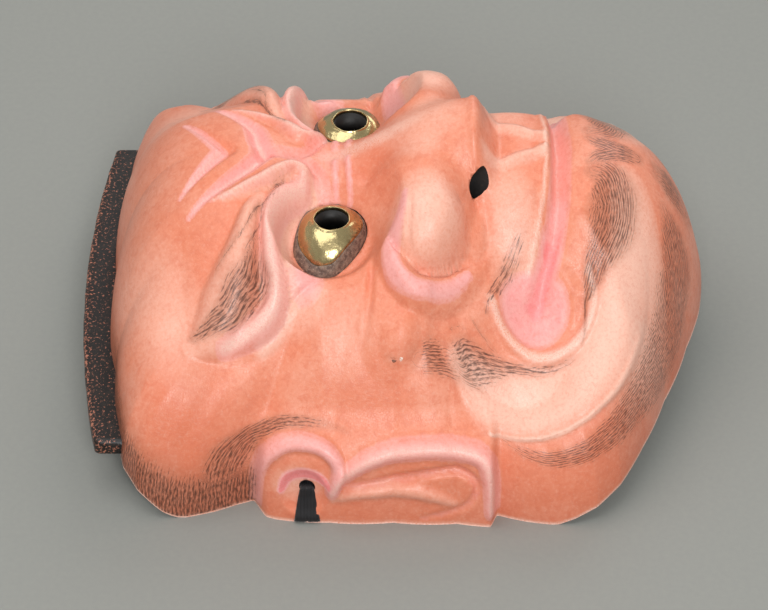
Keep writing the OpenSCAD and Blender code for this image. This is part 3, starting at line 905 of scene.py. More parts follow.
@dataclass(frozen=True)
class PaintedGofun:
    """Shell-white ground with glue-bound pigment, brushed on and burnished by hand.

    To the eye: salmon laid in soft clouds, pink brushed into the folds, pale crests and patches with
    an eggshell gloss, partly worn and paler paint and partly a painted highlight, painted shade
    towards the resting edge and in the ear's hollow, fine crackle, and hair drawn with a thin ink
    brush. Patterns are counted in waves a millimetre: clouds of about 22 mm, brush streaks of 3 mm,
    pores of 1 mm and grit of half one.
    """

    skin: str = "ed9070"
    skin_deep_and_shade: str = "de7350"
    skin_pale_and_highlight: str = "fcc6b1"
    pink: str = "fab0aa"
    pink_deep: str = "f98a8b"
    worn: str = "fddccb"
    ink: str = "301f19"
    ink_wash: str = "a8694f"
    roughness: float = 0.33
    cloud_waves: float = 0.045
    streak_waves: float = 0.35
    pore_waves: float = 0.9
    grain_waves: float = 2.2
    crackle_waves: float = 0.45
    fine_crackle_waves: float = 1.3
    hair_waves: float = 1.35
    hair_sway: float = 2.2
    hair_cover: float = 0.76

    def build(self) -> Look:
        """Makes the material.

        Returns:
            The material.
        """
        g = Graph("painted_gofun")
        blush, pale, deep, worn = g.channels("tint")
        density, along, across, wash = g.channels("hair")
        cloud = g.add(Kind.NOISE, g.place, self.cloud_waves / MM, 5, 0.55)
        streak = g.add(Kind.NOISE, g.place, self.streak_waves / MM, 4, 0.6, 0.6)
        grain = g.add(Kind.NOISE, g.place, self.grain_waves / MM, 3, 0.6)
        pores = g.add(Kind.NOISE, g.place, self.pore_waves / MM, 5, 0.75)
        sway = g.add(Kind.MINUS, streak, 0.5)

        def over(base: Any, share: Any, colour: str) -> Socket:
            """A coat of colour over the base."""
            return g.add(Kind.MIX, share, base, colour)

        # skin: clouds, the deep share of deeper tone and painted shade, the pale share of paler paint
        # and painted highlight, then pink in the folds
        base = over(self.skin, g.add(Kind.STEP, 0.4, 0.75, cloud, 0.3), self.skin_pale_and_highlight)
        # deeper tone and painted shade from the deep share
        base = over(base, g.add(Kind.PLUS, deep, g.add(Kind.TIMES, sway, 0.7)), self.skin_deep_and_shade)
        # paler paint and painted highlight from the pale share
        lit = g.add(Kind.PLUS, pale, g.add(Kind.TIMES, sway, 0.45))
        base = over(base, lit, self.skin_pale_and_highlight)
        brushed = g.add(Kind.PLUS, blush, g.add(Kind.TIMES, sway, 0.3))
        ragged = g.add(Kind.PLUS, g.add(Kind.STEP, 0.2, 0.42, brushed, 0.55),
                       g.add(Kind.STEP, 0.5, 0.78, brushed, 0.4))
        base = over(base, ragged, self.pink)
        base = over(base, g.add(Kind.STEP, 0.85, 1.15, brushed, 0.8), self.pink_deep)

        # wear: dark pores, streaks that calm down where the skin is pale or pink, and rubbed crests
        # that also carry a painted highlight
        base = over(base, g.add(Kind.STEP, 0.47, 0.68, pores, 0.28), self.skin_deep_and_shade)
        calm = g.add(Kind.TIMES, g.add(Kind.PLUS, lit, blush), 0.34)
        veins = g.add(Kind.TIMES, g.add(Kind.STEP, 0.48, 0.64, streak), g.add(Kind.MINUS, 0.42, calm),
                      use_clamp=True)
        base = over(base, veins, self.skin_deep_and_shade)
        base = over(base, g.add(Kind.STEP, 0.5, 0.3, pores, 0.14), self.worn)
        # the worn share: rubbed rim and crests, with a painted highlight along the crests
        base = over(base, g.add(Kind.TIMES, worn, g.add(Kind.STEP, 0.25, 0.6, grain)), self.worn)

        # hair: a wash that pools in the pores, and the strokes over it
        pooled = g.add(Kind.PLUS, 0.25, g.add(Kind.TIMES, pores, 0.6))
        base = over(base, g.add(Kind.TIMES, wash, pooled), self.ink_wash)
        base = over(base, self.strokes(g, density, along, across), self.ink)

        # age: crackle in patches and brown specks
        crackle = g.add(Kind.CRACKS, g.place, self.crackle_waves / MM)
        fine = g.add(Kind.CRACKS, g.place, self.fine_crackle_waves / MM)
        lines = g.add(Kind.MINUS, 1, g.add(Kind.STEP, 0, 0.05, crackle))
        some = g.add(Kind.STEP, 0.56, 0.68, g.add(Kind.NOISE, g.place, 0.07 / MM, 2))
        base = over(base, g.add(Kind.TIMES, g.add(Kind.TIMES, lines, some), 0.22), self.skin_deep_and_shade)
        specks = g.add(Kind.STEP, 0.71, 0.76, g.add(Kind.NOISE, g.place, 0.55 / MM, 2, 0.7))
        base = over(base, g.add(Kind.TIMES, specks, 0.35), self.skin_deep_and_shade)

        brush = g.add(Kind.BUMP, streak, 0.10 * MM)
        grit = g.add(Kind.PLUS, g.add(Kind.TIMES, grain, 0.7), g.add(Kind.STEP, 0, 0.12, fine))
        rough = g.add(Kind.PLUS, self.roughness - 0.08, g.add(Kind.TIMES, streak, 0.16))
        return g.finish(Base_Color=base, Roughness=rough, IOR=1.45,
                        Normal=g.add(Kind.BUMP, grit, 0.02 * MM, brush))

    def strokes(self, g: Graph, density: Any, along: Any, across: Any) -> Socket:
        """Ink strokes about 0.25 mm wide and 2 mm long in a swaying comb, thinned by the density.

        The comb is a sine across the hair, and a noise drawn out along it breaks its lines up.

        Args:
            g: the material's graph.
            density: share of ink.
            along: place along the hair in millimetres.
            across: place across it in millimetres.

        Returns:
            Share of ink, 0 to 1.
        """
        def drawn(slow: float, quick: float, detail: float) -> Socket:
            """Noise drawn out along the hair: so many waves a millimetre along and across."""
            where = g.add(Kind.JOIN, g.add(Kind.TIMES, along, slow), g.add(Kind.TIMES, across, quick))
            return g.add(Kind.NOISE, where, 1, detail)

        turns = g.add(Kind.PLUS, g.add(Kind.TIMES, across, self.hair_waves),
                      g.add(Kind.TIMES, drawn(0.1, 0.35, 1), self.hair_sway))
        wave = g.add(Kind.SINE, g.add(Kind.TIMES, turns, math.tau))
        comb = g.add(Kind.PLUS, 0.5, g.add(Kind.TIMES, wave, 0.5))
        level = g.add(Kind.PLUS, g.add(Kind.TIMES, comb, 0.16), drawn(0.6, 4.2, 5))
        cut = g.add(Kind.MINUS, 0.95, g.add(Kind.TIMES, density, 0.46))
        ink = g.add(Kind.TIMES, g.add(Kind.MINUS, level, cut), 4.5, use_clamp=True)
        return g.add(Kind.TIMES, ink, self.hair_cover)


@dataclass(frozen=True)
class BackLacquer:
    """Thin dark lacquer wiped over gouged cypress: brown-black, half gloss, with the wood's grain.

    The grain is drawn out along Y and repeats about every 1.7 mm, and the wiping leaves patches of
    about 30 mm.
    """

    dark: str = "2b1d16"
    wood: str = "5a3b28"
    grain_waves: float = 0.6
    patch_waves: float = 0.03
    drawn_out: Triple = (1, 0.08, 1)

    def build(self) -> Look:
        """Makes the material.

        Returns:
            The material.
        """
        g = Graph("wiped_lacquer")
        lengthways = g.add(Kind.STRETCH, g.place, self.drawn_out)
        grain = g.add(Kind.NOISE, lengthways, self.grain_waves / MM, 5, 0.6, 0.4)
        patch = g.add(Kind.NOISE, g.place, self.patch_waves / MM, 4)
        bare = g.add(Kind.TIMES, g.add(Kind.STEP, 0.45, 0.8, grain), g.add(Kind.STEP, 0.35, 0.75, patch))
        return g.finish(Base_Color=g.add(Kind.MIX, bare, self.dark, self.wood),
                        Normal=g.add(Kind.BUMP, grain, 0.05 * MM),
                        Roughness=g.add(Kind.PLUS, 0.3, g.add(Kind.TIMES, patch, 0.3)))


@dataclass(frozen=True)
class BoreLacquer:
    """Black lacquer run into a drilled hole: dull, with tool marks of about 1 mm."""

    dark: str = "120e0c"
    dust: str = "2a211c"
    mark_waves: float = 0.9

    def build(self) -> Look:
        """Makes the material.

        Returns:
            The material.
        """
        g = Graph("bore_lacquer")
        marks = g.add(Kind.NOISE, g.place, self.mark_waves / MM, 4)
        base = g.add(Kind.MIX, g.add(Kind.STEP, 0.55, 0.8, marks), self.dark, self.dust)
        return g.finish(Base_Color=base, Roughness=0.55, Normal=g.add(Kind.BUMP, marks, 0.08 * MM))


@dataclass(frozen=True)
class BandLacquer:
    """Black lacquer over red-brown ground, worn through in 1 mm dots, most along the edges."""

    black: str = "120d0b"
    hazed: str = "5b4a40"
    ground: str = "b8775f"
    dot_waves: float = 1.05
    scuff_waves: float = 0.3

    def build(self) -> Look:
        """Makes the material.

        Returns:
            The material.
        """
        g = Graph("band_lacquer")
        edge, *_ = g.channels("wear")
        dots = g.add(Kind.NOISE, g.place, self.dot_waves / MM, 3, 0.7)
        scuff = g.add(Kind.NOISE, g.place, self.scuff_waves / MM, 5, 0.7)
        cut = g.add(Kind.MINUS, 0.59, g.add(Kind.TIMES, edge, 0.075))
        worn = g.add(Kind.TIMES, g.add(Kind.MINUS, dots, cut), 16, use_clamp=True)
        haze = g.add(Kind.STEP, 0.45, 0.75, scuff, 0.22)
        base = g.add(Kind.MIX, worn, g.add(Kind.MIX, haze, self.black, self.hazed), self.ground)
        rough = g.add(Kind.PLUS, 0.3, g.add(Kind.TIMES, scuff, 0.25))
        return g.finish(Base_Color=base, Roughness=rough, Normal=g.add(Kind.BUMP, scuff, 0.12 * MM))


@dataclass(frozen=True)
class GiltCopper:
    """Copper sheet raised over a stake and mercury-gilt: a soft mirror, browned low and at the rim.

    The stake leaves dents about 3 mm apart, and dirt of 1 mm sits in the pits.
    """

    gold: str = "c9b685"
    tarnish: str = "64563c"
    roughness: float = 0.2
    dent_waves: float = 0.35
    dirt_waves: float = 0.9

    def build(self) -> Look:
        """Makes the material.

        Returns:
            The material.
        """
        g = Graph("gilt_copper")
        rim, low, *_ = g.channels("wear")
        dents = g.add(Kind.NOISE, g.place, self.dent_waves / MM, 3)
        dirt = g.add(Kind.NOISE, g.place, self.dirt_waves / MM, 5, 0.7)
        share = g.add(Kind.PLUS, g.add(Kind.TIMES, low, 0.75), g.add(Kind.TIMES, rim, 0.3))
        share = g.add(Kind.TIMES, share, g.add(Kind.STEP, 0.36, 0.62, dirt), use_clamp=True)
        pits = g.add(Kind.STEP, 0.66, 0.74, dirt, 0.7)
        browned = g.add(Kind.LARGER, share, pits)
        rough = g.add(Kind.PLUS, self.roughness, g.add(Kind.TIMES, browned, 0.3))
        return g.finish(Base_Color=g.add(Kind.MIX, browned, self.gold, self.tarnish), Metallic=1.0,
                        Roughness=rough, Normal=g.add(Kind.BUMP, dents, 0.25 * MM))


@dataclass(frozen=True)
class LacquerPutty:
    """Raw lacquer and clay pressed in with a spatula: grey-brown, matt, gritty.

    Lumps are about 1.4 mm across, and the grit is 0.4 mm.
    """

    clay: str = "8f7b6c"
    dark: str = "5a4a42"
    pale: str = "b8a494"
    lump_waves: float = 0.7
    grit_waves: float = 2.5

    def build(self) -> Look:
        """Makes the material.

        Returns:
            The material.
        """
        g = Graph("lacquer_putty")
        lumps = g.add(Kind.NOISE, g.place, self.lump_waves / MM, 5, 0.65)
        grit = g.add(Kind.NOISE, g.place, self.grit_waves / MM, 3)
        base = g.add(Kind.MIX, g.add(Kind.STEP, 0.35, 0.65, lumps), self.dark, self.clay)
        base = g.add(Kind.MIX, g.add(Kind.STEP, 0.58, 0.75, grit), base, self.pale)
        height = g.add(Kind.PLUS, lumps, g.add(Kind.TIMES, grit, 0.3))
        return g.finish(Base_Color=base, Roughness=0.75, Normal=g.add(Kind.BUMP, height, 0.25 * MM))


@dataclass(frozen=True)
class SilkCord:
    """Flat black silk braid: ribs 0.45 mm apart, plaits 0.9 mm long, painted highlight on crests, satin
    sheen.
    """

    black: str = "0e0d0f"
    painted_rib_highlight: str = "2c2a2e"
    rib_gap: float = 0.45
    plait_gap: float = 0.9

    def build(self) -> Look:
        """Makes the material.

        Returns:
            The material.
        """
        g = Graph("silk_cord")
        across, along, *_ = g.channels("weave")
        rib = g.add(Kind.SINE, g.add(Kind.TIMES, across, math.tau / self.rib_gap))
        slant = g.add(Kind.TIMES, g.add(Kind.PLUS, along, across), math.tau / self.plait_gap)
        height = g.add(Kind.PLUS, rib, g.add(Kind.TIMES, g.add(Kind.SINE, slant), 0.35))
        # crests of the ribs and plaits painted lighter: a painted highlight
        base = g.add(Kind.MIX, g.add(Kind.STEP, -0.4, 1.2, height), self.black, self.painted_rib_highlight)
        return g.finish(Base_Color=base, Roughness=0.45, Normal=g.add(Kind.BUMP, height, 0.06 * MM),
                        Sheen_Weight=0.35, Sheen_Roughness=0.35)


@dataclass(frozen=True)
class PaintDab:
    """A small dab of thick glue paint, or a chip down to the white ground, rubbed with skin colour."""

    name: str
    colour: str
    rubbed: str = "d98c6c"
    mottle_waves: float = 1.5

    def build(self) -> Look:
        """Makes the material.

        Returns:
            The material.
        """
        g = Graph(self.name)
        mottle = g.add(Kind.NOISE, g.place, self.mottle_waves / MM, 3)
        base = g.add(Kind.MIX, g.add(Kind.STEP, 0.4, 0.8, mottle), self.colour, self.rubbed)
        return g.finish(Base_Color=base, Roughness=0.5)


@dataclass(frozen=True)
class StudioPaper:
    """Seamless backdrop paper: flat, matt, with a barely seen tooth of 2 mm."""

    grey: str = "8f908c"
    pale: str = "969791"
    tooth_waves: float = 0.5

    def build(self) -> Look:
        """Makes the material.

        Returns:
            The material.
        """
        g = Graph("studio_paper")
        tooth = g.add(Kind.NOISE, g.place, self.tooth_waves / MM, 4)
        return g.finish(Base_Color=g.add(Kind.MIX, tooth, self.grey, self.pale), Roughness=0.9)


# ---- the carved shell


@dataclass(frozen=True)
class HairZone:
    """Hair drawn with the ink brush along a line on the chart.

    The chart is the unit disc that the front is drawn from, times 100: the distance from the middle
    line and the height up the face.
    """

    line: Points
    wash: float = 0.5


HAIR: dict[str, HairZone] = {
    "brow": HairZone(((21.5, 25, 0.9, 0.6), (24, 25.5, 2.3, 0.9), (27, 26.5, 3.4, 1),
        (29.5, 29, 3.9, 1), (32, 31.5, 3.3, 1), (33.5, 35, 2, 1), (35, 38, 1.2, 0.9),
        (36, 40.5, 0.6, 0.6)), 0.95),
    "brow_edge": HairZone(((9, 23.5, 0.6, 0.9), (15.5, 26.5, 0.7, 1), (21, 29, 0.6, 0.9),
        (24, 32.5, 0.6, 0.8), (26.5, 35, 0.7, 0.5)), 0.7),
    "brow_root": HairZone(((12, 26, 0.9, 0.6), (18, 25.5, 0.9, 0.8), (21.5, 26.5, 0.9, 0.9),
        (24, 28, 0.9, 0.6)), 0.6),
    "frown": HairZone(((11.5, 26.5, 0.5, 0.6), (10, 25, 0.8, 1), (8.6, 23.5, 0.6, 0.7)), 0.6),
    "cheek_top": HairZone(((56, -7.5, 3.9, 0.6), (55.5, -9.5, 4.7, 1), (53, -13.5, 5.2, 1),
        (51.5, -15, 4.8, 0.7)), 0.5),
    "cheek_fall": HairZone(((50, -17, 4.6, 0.7), (49, -18, 4.4, 1), (44, -20, 3.7, 1),
        (41, -22, 2.8, 1), (39, -24.5, 1.7, 1), (38, -28, 1.1, 1), (38, -37, 0.8, 0.8),
        (38, -41, 0.7, 0.4)), 0.6),
    "cheek_wisp": HairZone(((43.5, -14.5, 0.5, 0.9), (40, -17, 0.5, 0.7)), 0.3),
    "cheek_tip": HairZone(((36.5, -18, 0.7, 0.7), (37, -19.5, 0.9, 0.8), (37.5, -21.5, 0.9, 0.6)), 0.4),
    "ear_wisp": HairZone(((56, 2, 0.5, 0.6), (57, -0.5, 0.6, 0.8), (57, -3.5, 0.5, 0.5)), 0.4),
    "nose_side": HairZone(((32, -19.5, 0.5, 0.9), (29, -19.5, 0.7, 1), (25.5, -21, 1.7, 0.9),
        (22, -24, 1.9, 0.9), (20, -26, 1.5, 0.8), (18, -28, 0.6, 0.4)), 0.5),
    "lip_middle": HairZone(((4, -43, 1.6, 0.7), (2.5, -45, 2.6, 1), (1, -49, 3, 1), (0.5, -53, 2.8, 1),
        (0.5, -56, 2, 0.7)), 0.85),
    "moustache": HairZone(((6.5, -44, 2.5, 0.7), (8, -47.5, 5.5, 1), (11, -49.5, 7, 1),
        (15, -51, 8.2, 1), (19.5, -50, 7.6, 1), (23.5, -48, 5.4, 1), (26.5, -45.5, 3.7, 1),
        (29, -44, 2.2, 1), (30.5, -43, 0.8, 1), (34, -43, 0.7, 0.8), (36, -42, 0.8, 0.5)), 0.85),
    "chin_tuft": HairZone(((1, -63, 2.5, 0.7), (0.5, -66, 4.5, 1), (0.5, -71, 5, 1),
        (0.5, -77, 4, 0.7)), 0.8),
    "beard": HairZone(((9, -66.5, 2, 0.7), (12, -70.5, 5, 1), (15.5, -74.5, 8.5, 1), (20.5, -78, 11, 1),
        (34.5, -78, 12, 1), (43.5, -74, 11, 1), (51, -67, 8.3, 1), (57.5, -59, 6.5, 1),
        (62, -51.5, 5, 1), (65, -45.5, 3.9, 1), (66.5, -37, 2.9, 0.9), (65, -30, 1.8, 0.6),
        (65, -26, 1, 0.4)), 0.35),
    "temple": HairZone(((80, 53.5, 3.6, 1), (73.5, 50.5, 4.2, 1), (69, 46.5, 4.8, 1),
        (66, 42.5, 4.3, 1), (65.5, 38.5, 2.7, 1), (65.5, 31.5, 2, 1), (68.5, 24.5, 1.6, 0.8),
        (73.5, 13.5, 0.5, 0.3)), 0.8),
}


@dataclass
class ShellPiece:
    """The carved shell: painted front, gouged back, eye seats and bores, as one closed mesh."""

    pattern: CarverPattern
    front_cells: int = 276
    back_cells: int = 138
    nostril_at: Triple = (17.6, -27.4, 83)
    nostril_lean: float = 50
    nostril_r: float = 2
    nostril_oval: float = 1.9
    nostril_turn: float = 45
    nostril_run: Pair = (-36, 20)
    cord_y: float = 27
    cord_z: float = 12
    cord_hole_r: float = 2.5
    cord_hole_run: Pair = (60, 100)

    def build(self, front: FaceSheet, eyes: Sequence["EyeSeat"], finishes: Sequence[Look]) -> Piece:
        """Makes the shell, paints its attributes and cuts its seats and holes.

        Args:
            front: the carved front.
            eyes: the two eye seats.
            finishes: materials of front, back and bores.

        Returns:
            The object.
        """
        back = carve_back(self.pattern, self.back_cells)
        first, cells = front.y.size, self.front_cells
        outer, inner = border(cells, 0), border(self.back_cells, first)
        a, b, c = outer[0::2], outer[1::2], np.roll(outer[0::2], -1)
        p, q = inner, np.roll(inner, -1)
        rim = np.vstack([np.stack(t, -1) for t in ((a, b, p), (b, q, p), (b, c, q))])
        points = np.vstack([front.points.reshape(-1, 3), back.reshape(-1, 3)])
        sheets = [grid_faces(cells + 1, cells + 1, 0, False),
                  grid_faces(self.back_cells + 1, self.back_cells + 1, first, True), rim]
        shell = make_mesh("mask_shell", points, sheets,
                          [Paint.FRONT.value, Paint.BACK.value, Paint.BACK.value], finishes)
        blank = np.zeros((back.size // 3, 4))
        paint_corners(shell, "tint", np.vstack([self.tints(front).reshape(-1, 4), blank]))
        paint_corners(shell, "hair", np.vstack([self.hair(front).reshape(-1, 4), blank]))
        cut_away(shell, [self.cutters(eyes, finishes)])
        return shell

    def tints(self, sheet: FaceSheet) -> Array:
        """Shares of blush, pale skin, deep skin and wear, from the strokes that carved the face.

        Pale holds paler paint and painted highlight, deep holds deeper tone and painted shade, and
        wear holds rubbed crests with a painted highlight along them.

        Args:
            sheet: the carved front.

        Returns:
            Four values a grid point.
        """
        s, a, y, low, z = self.pattern.strokes, sheet.a, sheet.y, sheet.lowered, sheet.z
        side = ease(60, 76, a)

        def patch(centre: Sequence[float], radii: Sequence[float], turn: float = 0) -> Array:
            """Soft round patch of colour."""
            return mound(a, low, centre, radii, turn, 1, 1)

        def line(name: str, share: float, widen: float, up: Array = y) -> Array:
            """Colour along one of the face's strokes, at even strength."""
            return share * np.exp(-(s[name].reach(a, up).ratio / widen) ** 4)

        def ear(name: str, share: float, widen: float) -> Array:
            """Colour along one of the ear's strokes, at even strength."""
            return side * share * np.exp(-(s[name].reach(y, z).ratio / widen) ** 4)

        dimple_x, dimple_y = self.pattern.dimple
        towards_corner = ease(12, 34, a)
        blush = np.maximum.reduce([
            # forehead folds, bridge and lids
            line("upper_pink", 0.8, 1.1), line("lower_fold", 0.8, 1.15, low),
            line("root_fold", 0.6, 1.2), line("lid_roll", 0.62, 1.25, low),
            line("frown_roll", 0.35, 1.3, low), line("wrinkle_upper", 0.75, 0.8),
            line("wrinkle_lower", 0.75, 0.8), 0.35 * mound(a, y, (0, 20), (18, 12), 0, 1, 1),
            0.85 * patch((43, 27), (9, 7)), 0.3 * patch((24, 19), (22, 18)),
            # round the nose's wing and along the cheek
            line("crescent", 0.85, 1), line("cheek_cut", 0.2, 1.5),
            # mouth, its corner and the dimple
            line("mouth_cut", 1, 1.1) * (0.6 + 0.5 * towards_corner),
            line("lip_roll", 0.85, 1) * (0.6 + 0.4 * towards_corner),
            1.35 * patch((32, -49), (8, 4)), line("dimple_rim", 0.25, 1),
            0.95 * ease(1.08, 0.7, np.hypot((a - dimple_x) / 9, (y - dimple_y) / 12)),
            # ear
            ear("ear_curl", 0.8, 0.9), ear("ear_cut", 0.3, 1.3), ear("bowl_arc", 1.4, 1.15),
            ear("ear_lobe", 0.68, 1.1)])
        pale = np.maximum.reduce([
            # brow, grooves beside the lids, round the eye, and the forehead; a painted highlight on the
            # brow's roll and on the forehead
            line("brow", 0.55, 0.85, low), line("lid_groove", 0.8, 2.6, low),
            line("rope_groove", 0.5, 2, low), 0.3 * patch((56, 15), (12, 12)),
            0.6 * patch((49, 27), (9, 9)), 0.5 * patch((46, 72), (30, 13), -25),
            # nose's crest and wing: painted highlight
            mound(a, y, (0, -9), (10, 16), 0, 0.5, 0.8), 0.45 * patch((9, -8), (7, 9)),
            0.85 * mound(a, y, (32, -10), (14, 14), 0, 1, 0.9),
            # lip, jowl and chin, with a painted highlight along the jowl's crest and edge
            line("philtrum", 0.7, 1.3), 0.62 * mound(a, y, (27, -37), (24, 10), -10, 1, 0.9),
            line("jowl", 0.95, 0.95), line("jowl_edge", 1, 0.9),
            0.9 * mound(a, y, (28, -77), (24, 9), -10, 1, 0.6), 0.9 * patch((48, -76), (18, 11), 25),
            # ear: a painted pool of light in the bowl above the cord hole, and the fold
            0.6 * side * mound(y, z, (30, 13), (9, 7), 0, 1, 0.8), ear("ear_fold", 0.4, 0.9)])
        deep = np.maximum.reduce([
            # painted shade towards the resting edge, most away from the ear
            0.6 * ease(44, 8, z) * (1 - 0.35 * side), 0.35 * patch((68, 8), (14, 16)),
            # forehead, temple, bridge, cheek and jaw
            0.22 * mound(a, y, (30, 60), (26, 24), 0, 1, 0.6), 0.6 * patch((72, 66), (22, 18)),
            0.55 * mound(a, y, (5, 6), (15, 15), 0, 1, 0.7),
            0.3 * mound(a, y, (40, -15), (8, 7), 0, 1, 0.8),
            0.5 * mound(a, y, (75, -64), (14, 16), 20, 1, 0.8),
            # painted shade in the hollow of the ear
            0.35 * side * mound(y, z, (-8, 8), (20, 9), 0, 1, 0.8)])
        worn = np.maximum.reduce([
            # crests of the rolls: rubbed wear with a painted highlight along them
            line("frown_roll", 0.5, 0.35, low), line("upper_pink", 0.4, 0.2),
            line("lower_fold", 0.4, 0.18, low), line("lid_roll", 0.6, 0.5, low),
            line("dimple_rim", 0.65, 0.5), line("rim_line", 0.6, 0.75), ear("ear_lobe", 0.4, 0.35),
            # the rubbed rim, and the nose's crest, rubbed and with a painted highlight
            0.8 * ease(0.985, 1, sheet.edge_share), 0.5 * mound(a, y, (0, 8), (4, 20), 0, 1, 1)])
        return np.stack([blush, pale, deep, worn], -1)

    def hair(self, sheet: FaceSheet) -> Array:
        """Density of ink, place along and across the hair, and the wash under it.

        Each zone's line runs on the chart. The one that is strongest at a place rules there. At the
        temples the hair grows outwards from the ear.

        Args:
            sheet: the carved front.

        Returns:
            Four values a grid point.
        """
        x, y = sheet.chart[..., 0], sheet.chart[..., 1]
        angle = np.degrees(np.arctan2(y, x))
        temple = (ease(0.8, 0.92, sheet.edge_share) * ease(28.5, 31, angle) * ease(88, 60, angle)
                  * ease(0.9985, 0.994, sheet.edge_share))
        out = np.stack([1.08 * temple, 100 * sheet.edge_share, 1.6 * angle, temple], -1)
        for zone in HAIR.values():
            at = Stroke(zone.line, 4).reach(x, y)
            share = at.height * np.exp(-at.ratio ** 6)
            layer = np.stack([share, at.along, at.across, share * zone.wash], -1)
            out = np.where((share > out[..., 0])[..., None], layer, out)
        return out

    def oval_bore(self, middle: Array, axis: Array, hand: int) -> tuple[Array, ...]:
        """Oval bar along a nostril's axis, its long way turned down towards the ear.

        Args:
            middle: a place on the axis, in millimetres.
            axis: the axis, one long.
            hand: 1 for the right nostril and -1 for the left.

        Returns:
            Points and faces.
        """
        run = np.linspace(*self.nostril_run, 9)[:, None]
        bar = tube(middle + run * axis, np.full(9, self.nostril_r), 40)
        turn = hand * math.radians(self.nostril_turn)
        long_way = np.array([1, 0, 0]) * math.cos(turn) + np.cross(axis, (1, 0, 0)) * math.sin(turn)
        off = (bar[0] - middle) @ long_way
        return bar[0] + (self.nostril_oval - 1) * off[:, None] * long_way, *bar[1:]

    def cutters(self, eyes: Sequence["EyeSeat"], finishes: Sequence[Look]) -> Piece:
        """One mesh of separate closed solids: eye seats, nostrils and cord holes.

        Args:
            eyes: the two eye seats.
            finishes: materials of front, back and bores.

        Returns:
            The object.
        """
        points, faces, slots = [], [], []

        def gather(solid: tuple[Array, ...], slot: Paint) -> None:
            """Adds a solid's points and faces, its group of faces painted from one slot.

            Args:
                solid: points and groups of faces.
                slot: the slot.
            """
            first = sum(len(p) for p in points)
            points.append(solid[0])
            faces.extend(group + first for group in solid[1:])
            slots.extend([slot.value] * (len(solid) - 1))

        for eye in eyes:
            gather(eye.pocket(), Paint.BORE)
        lean = math.radians(self.nostril_lean)
        for side in Side:
            middle = np.array(self.nostril_at) * (side.value, 1, 1) * self.pattern.stretch
            axis = np.array([0, -math.sin(lean), math.cos(lean)])
            gather(self.oval_bore(middle, axis, -side.value), Paint.BORE)
            at_y = self.cord_y * self.pattern.stretch[1]
            hole = np.array([[x * side.value, at_y, self.cord_z] for x in self.cord_hole_run])
            gather(tube(hole, np.full(2, self.cord_hole_r), 32), Paint.BORE)
        cutter = make_mesh("cutter", np.vstack(points), faces, slots, finishes, False)
        outward(cutter)
        return cutter


# ---- eyes


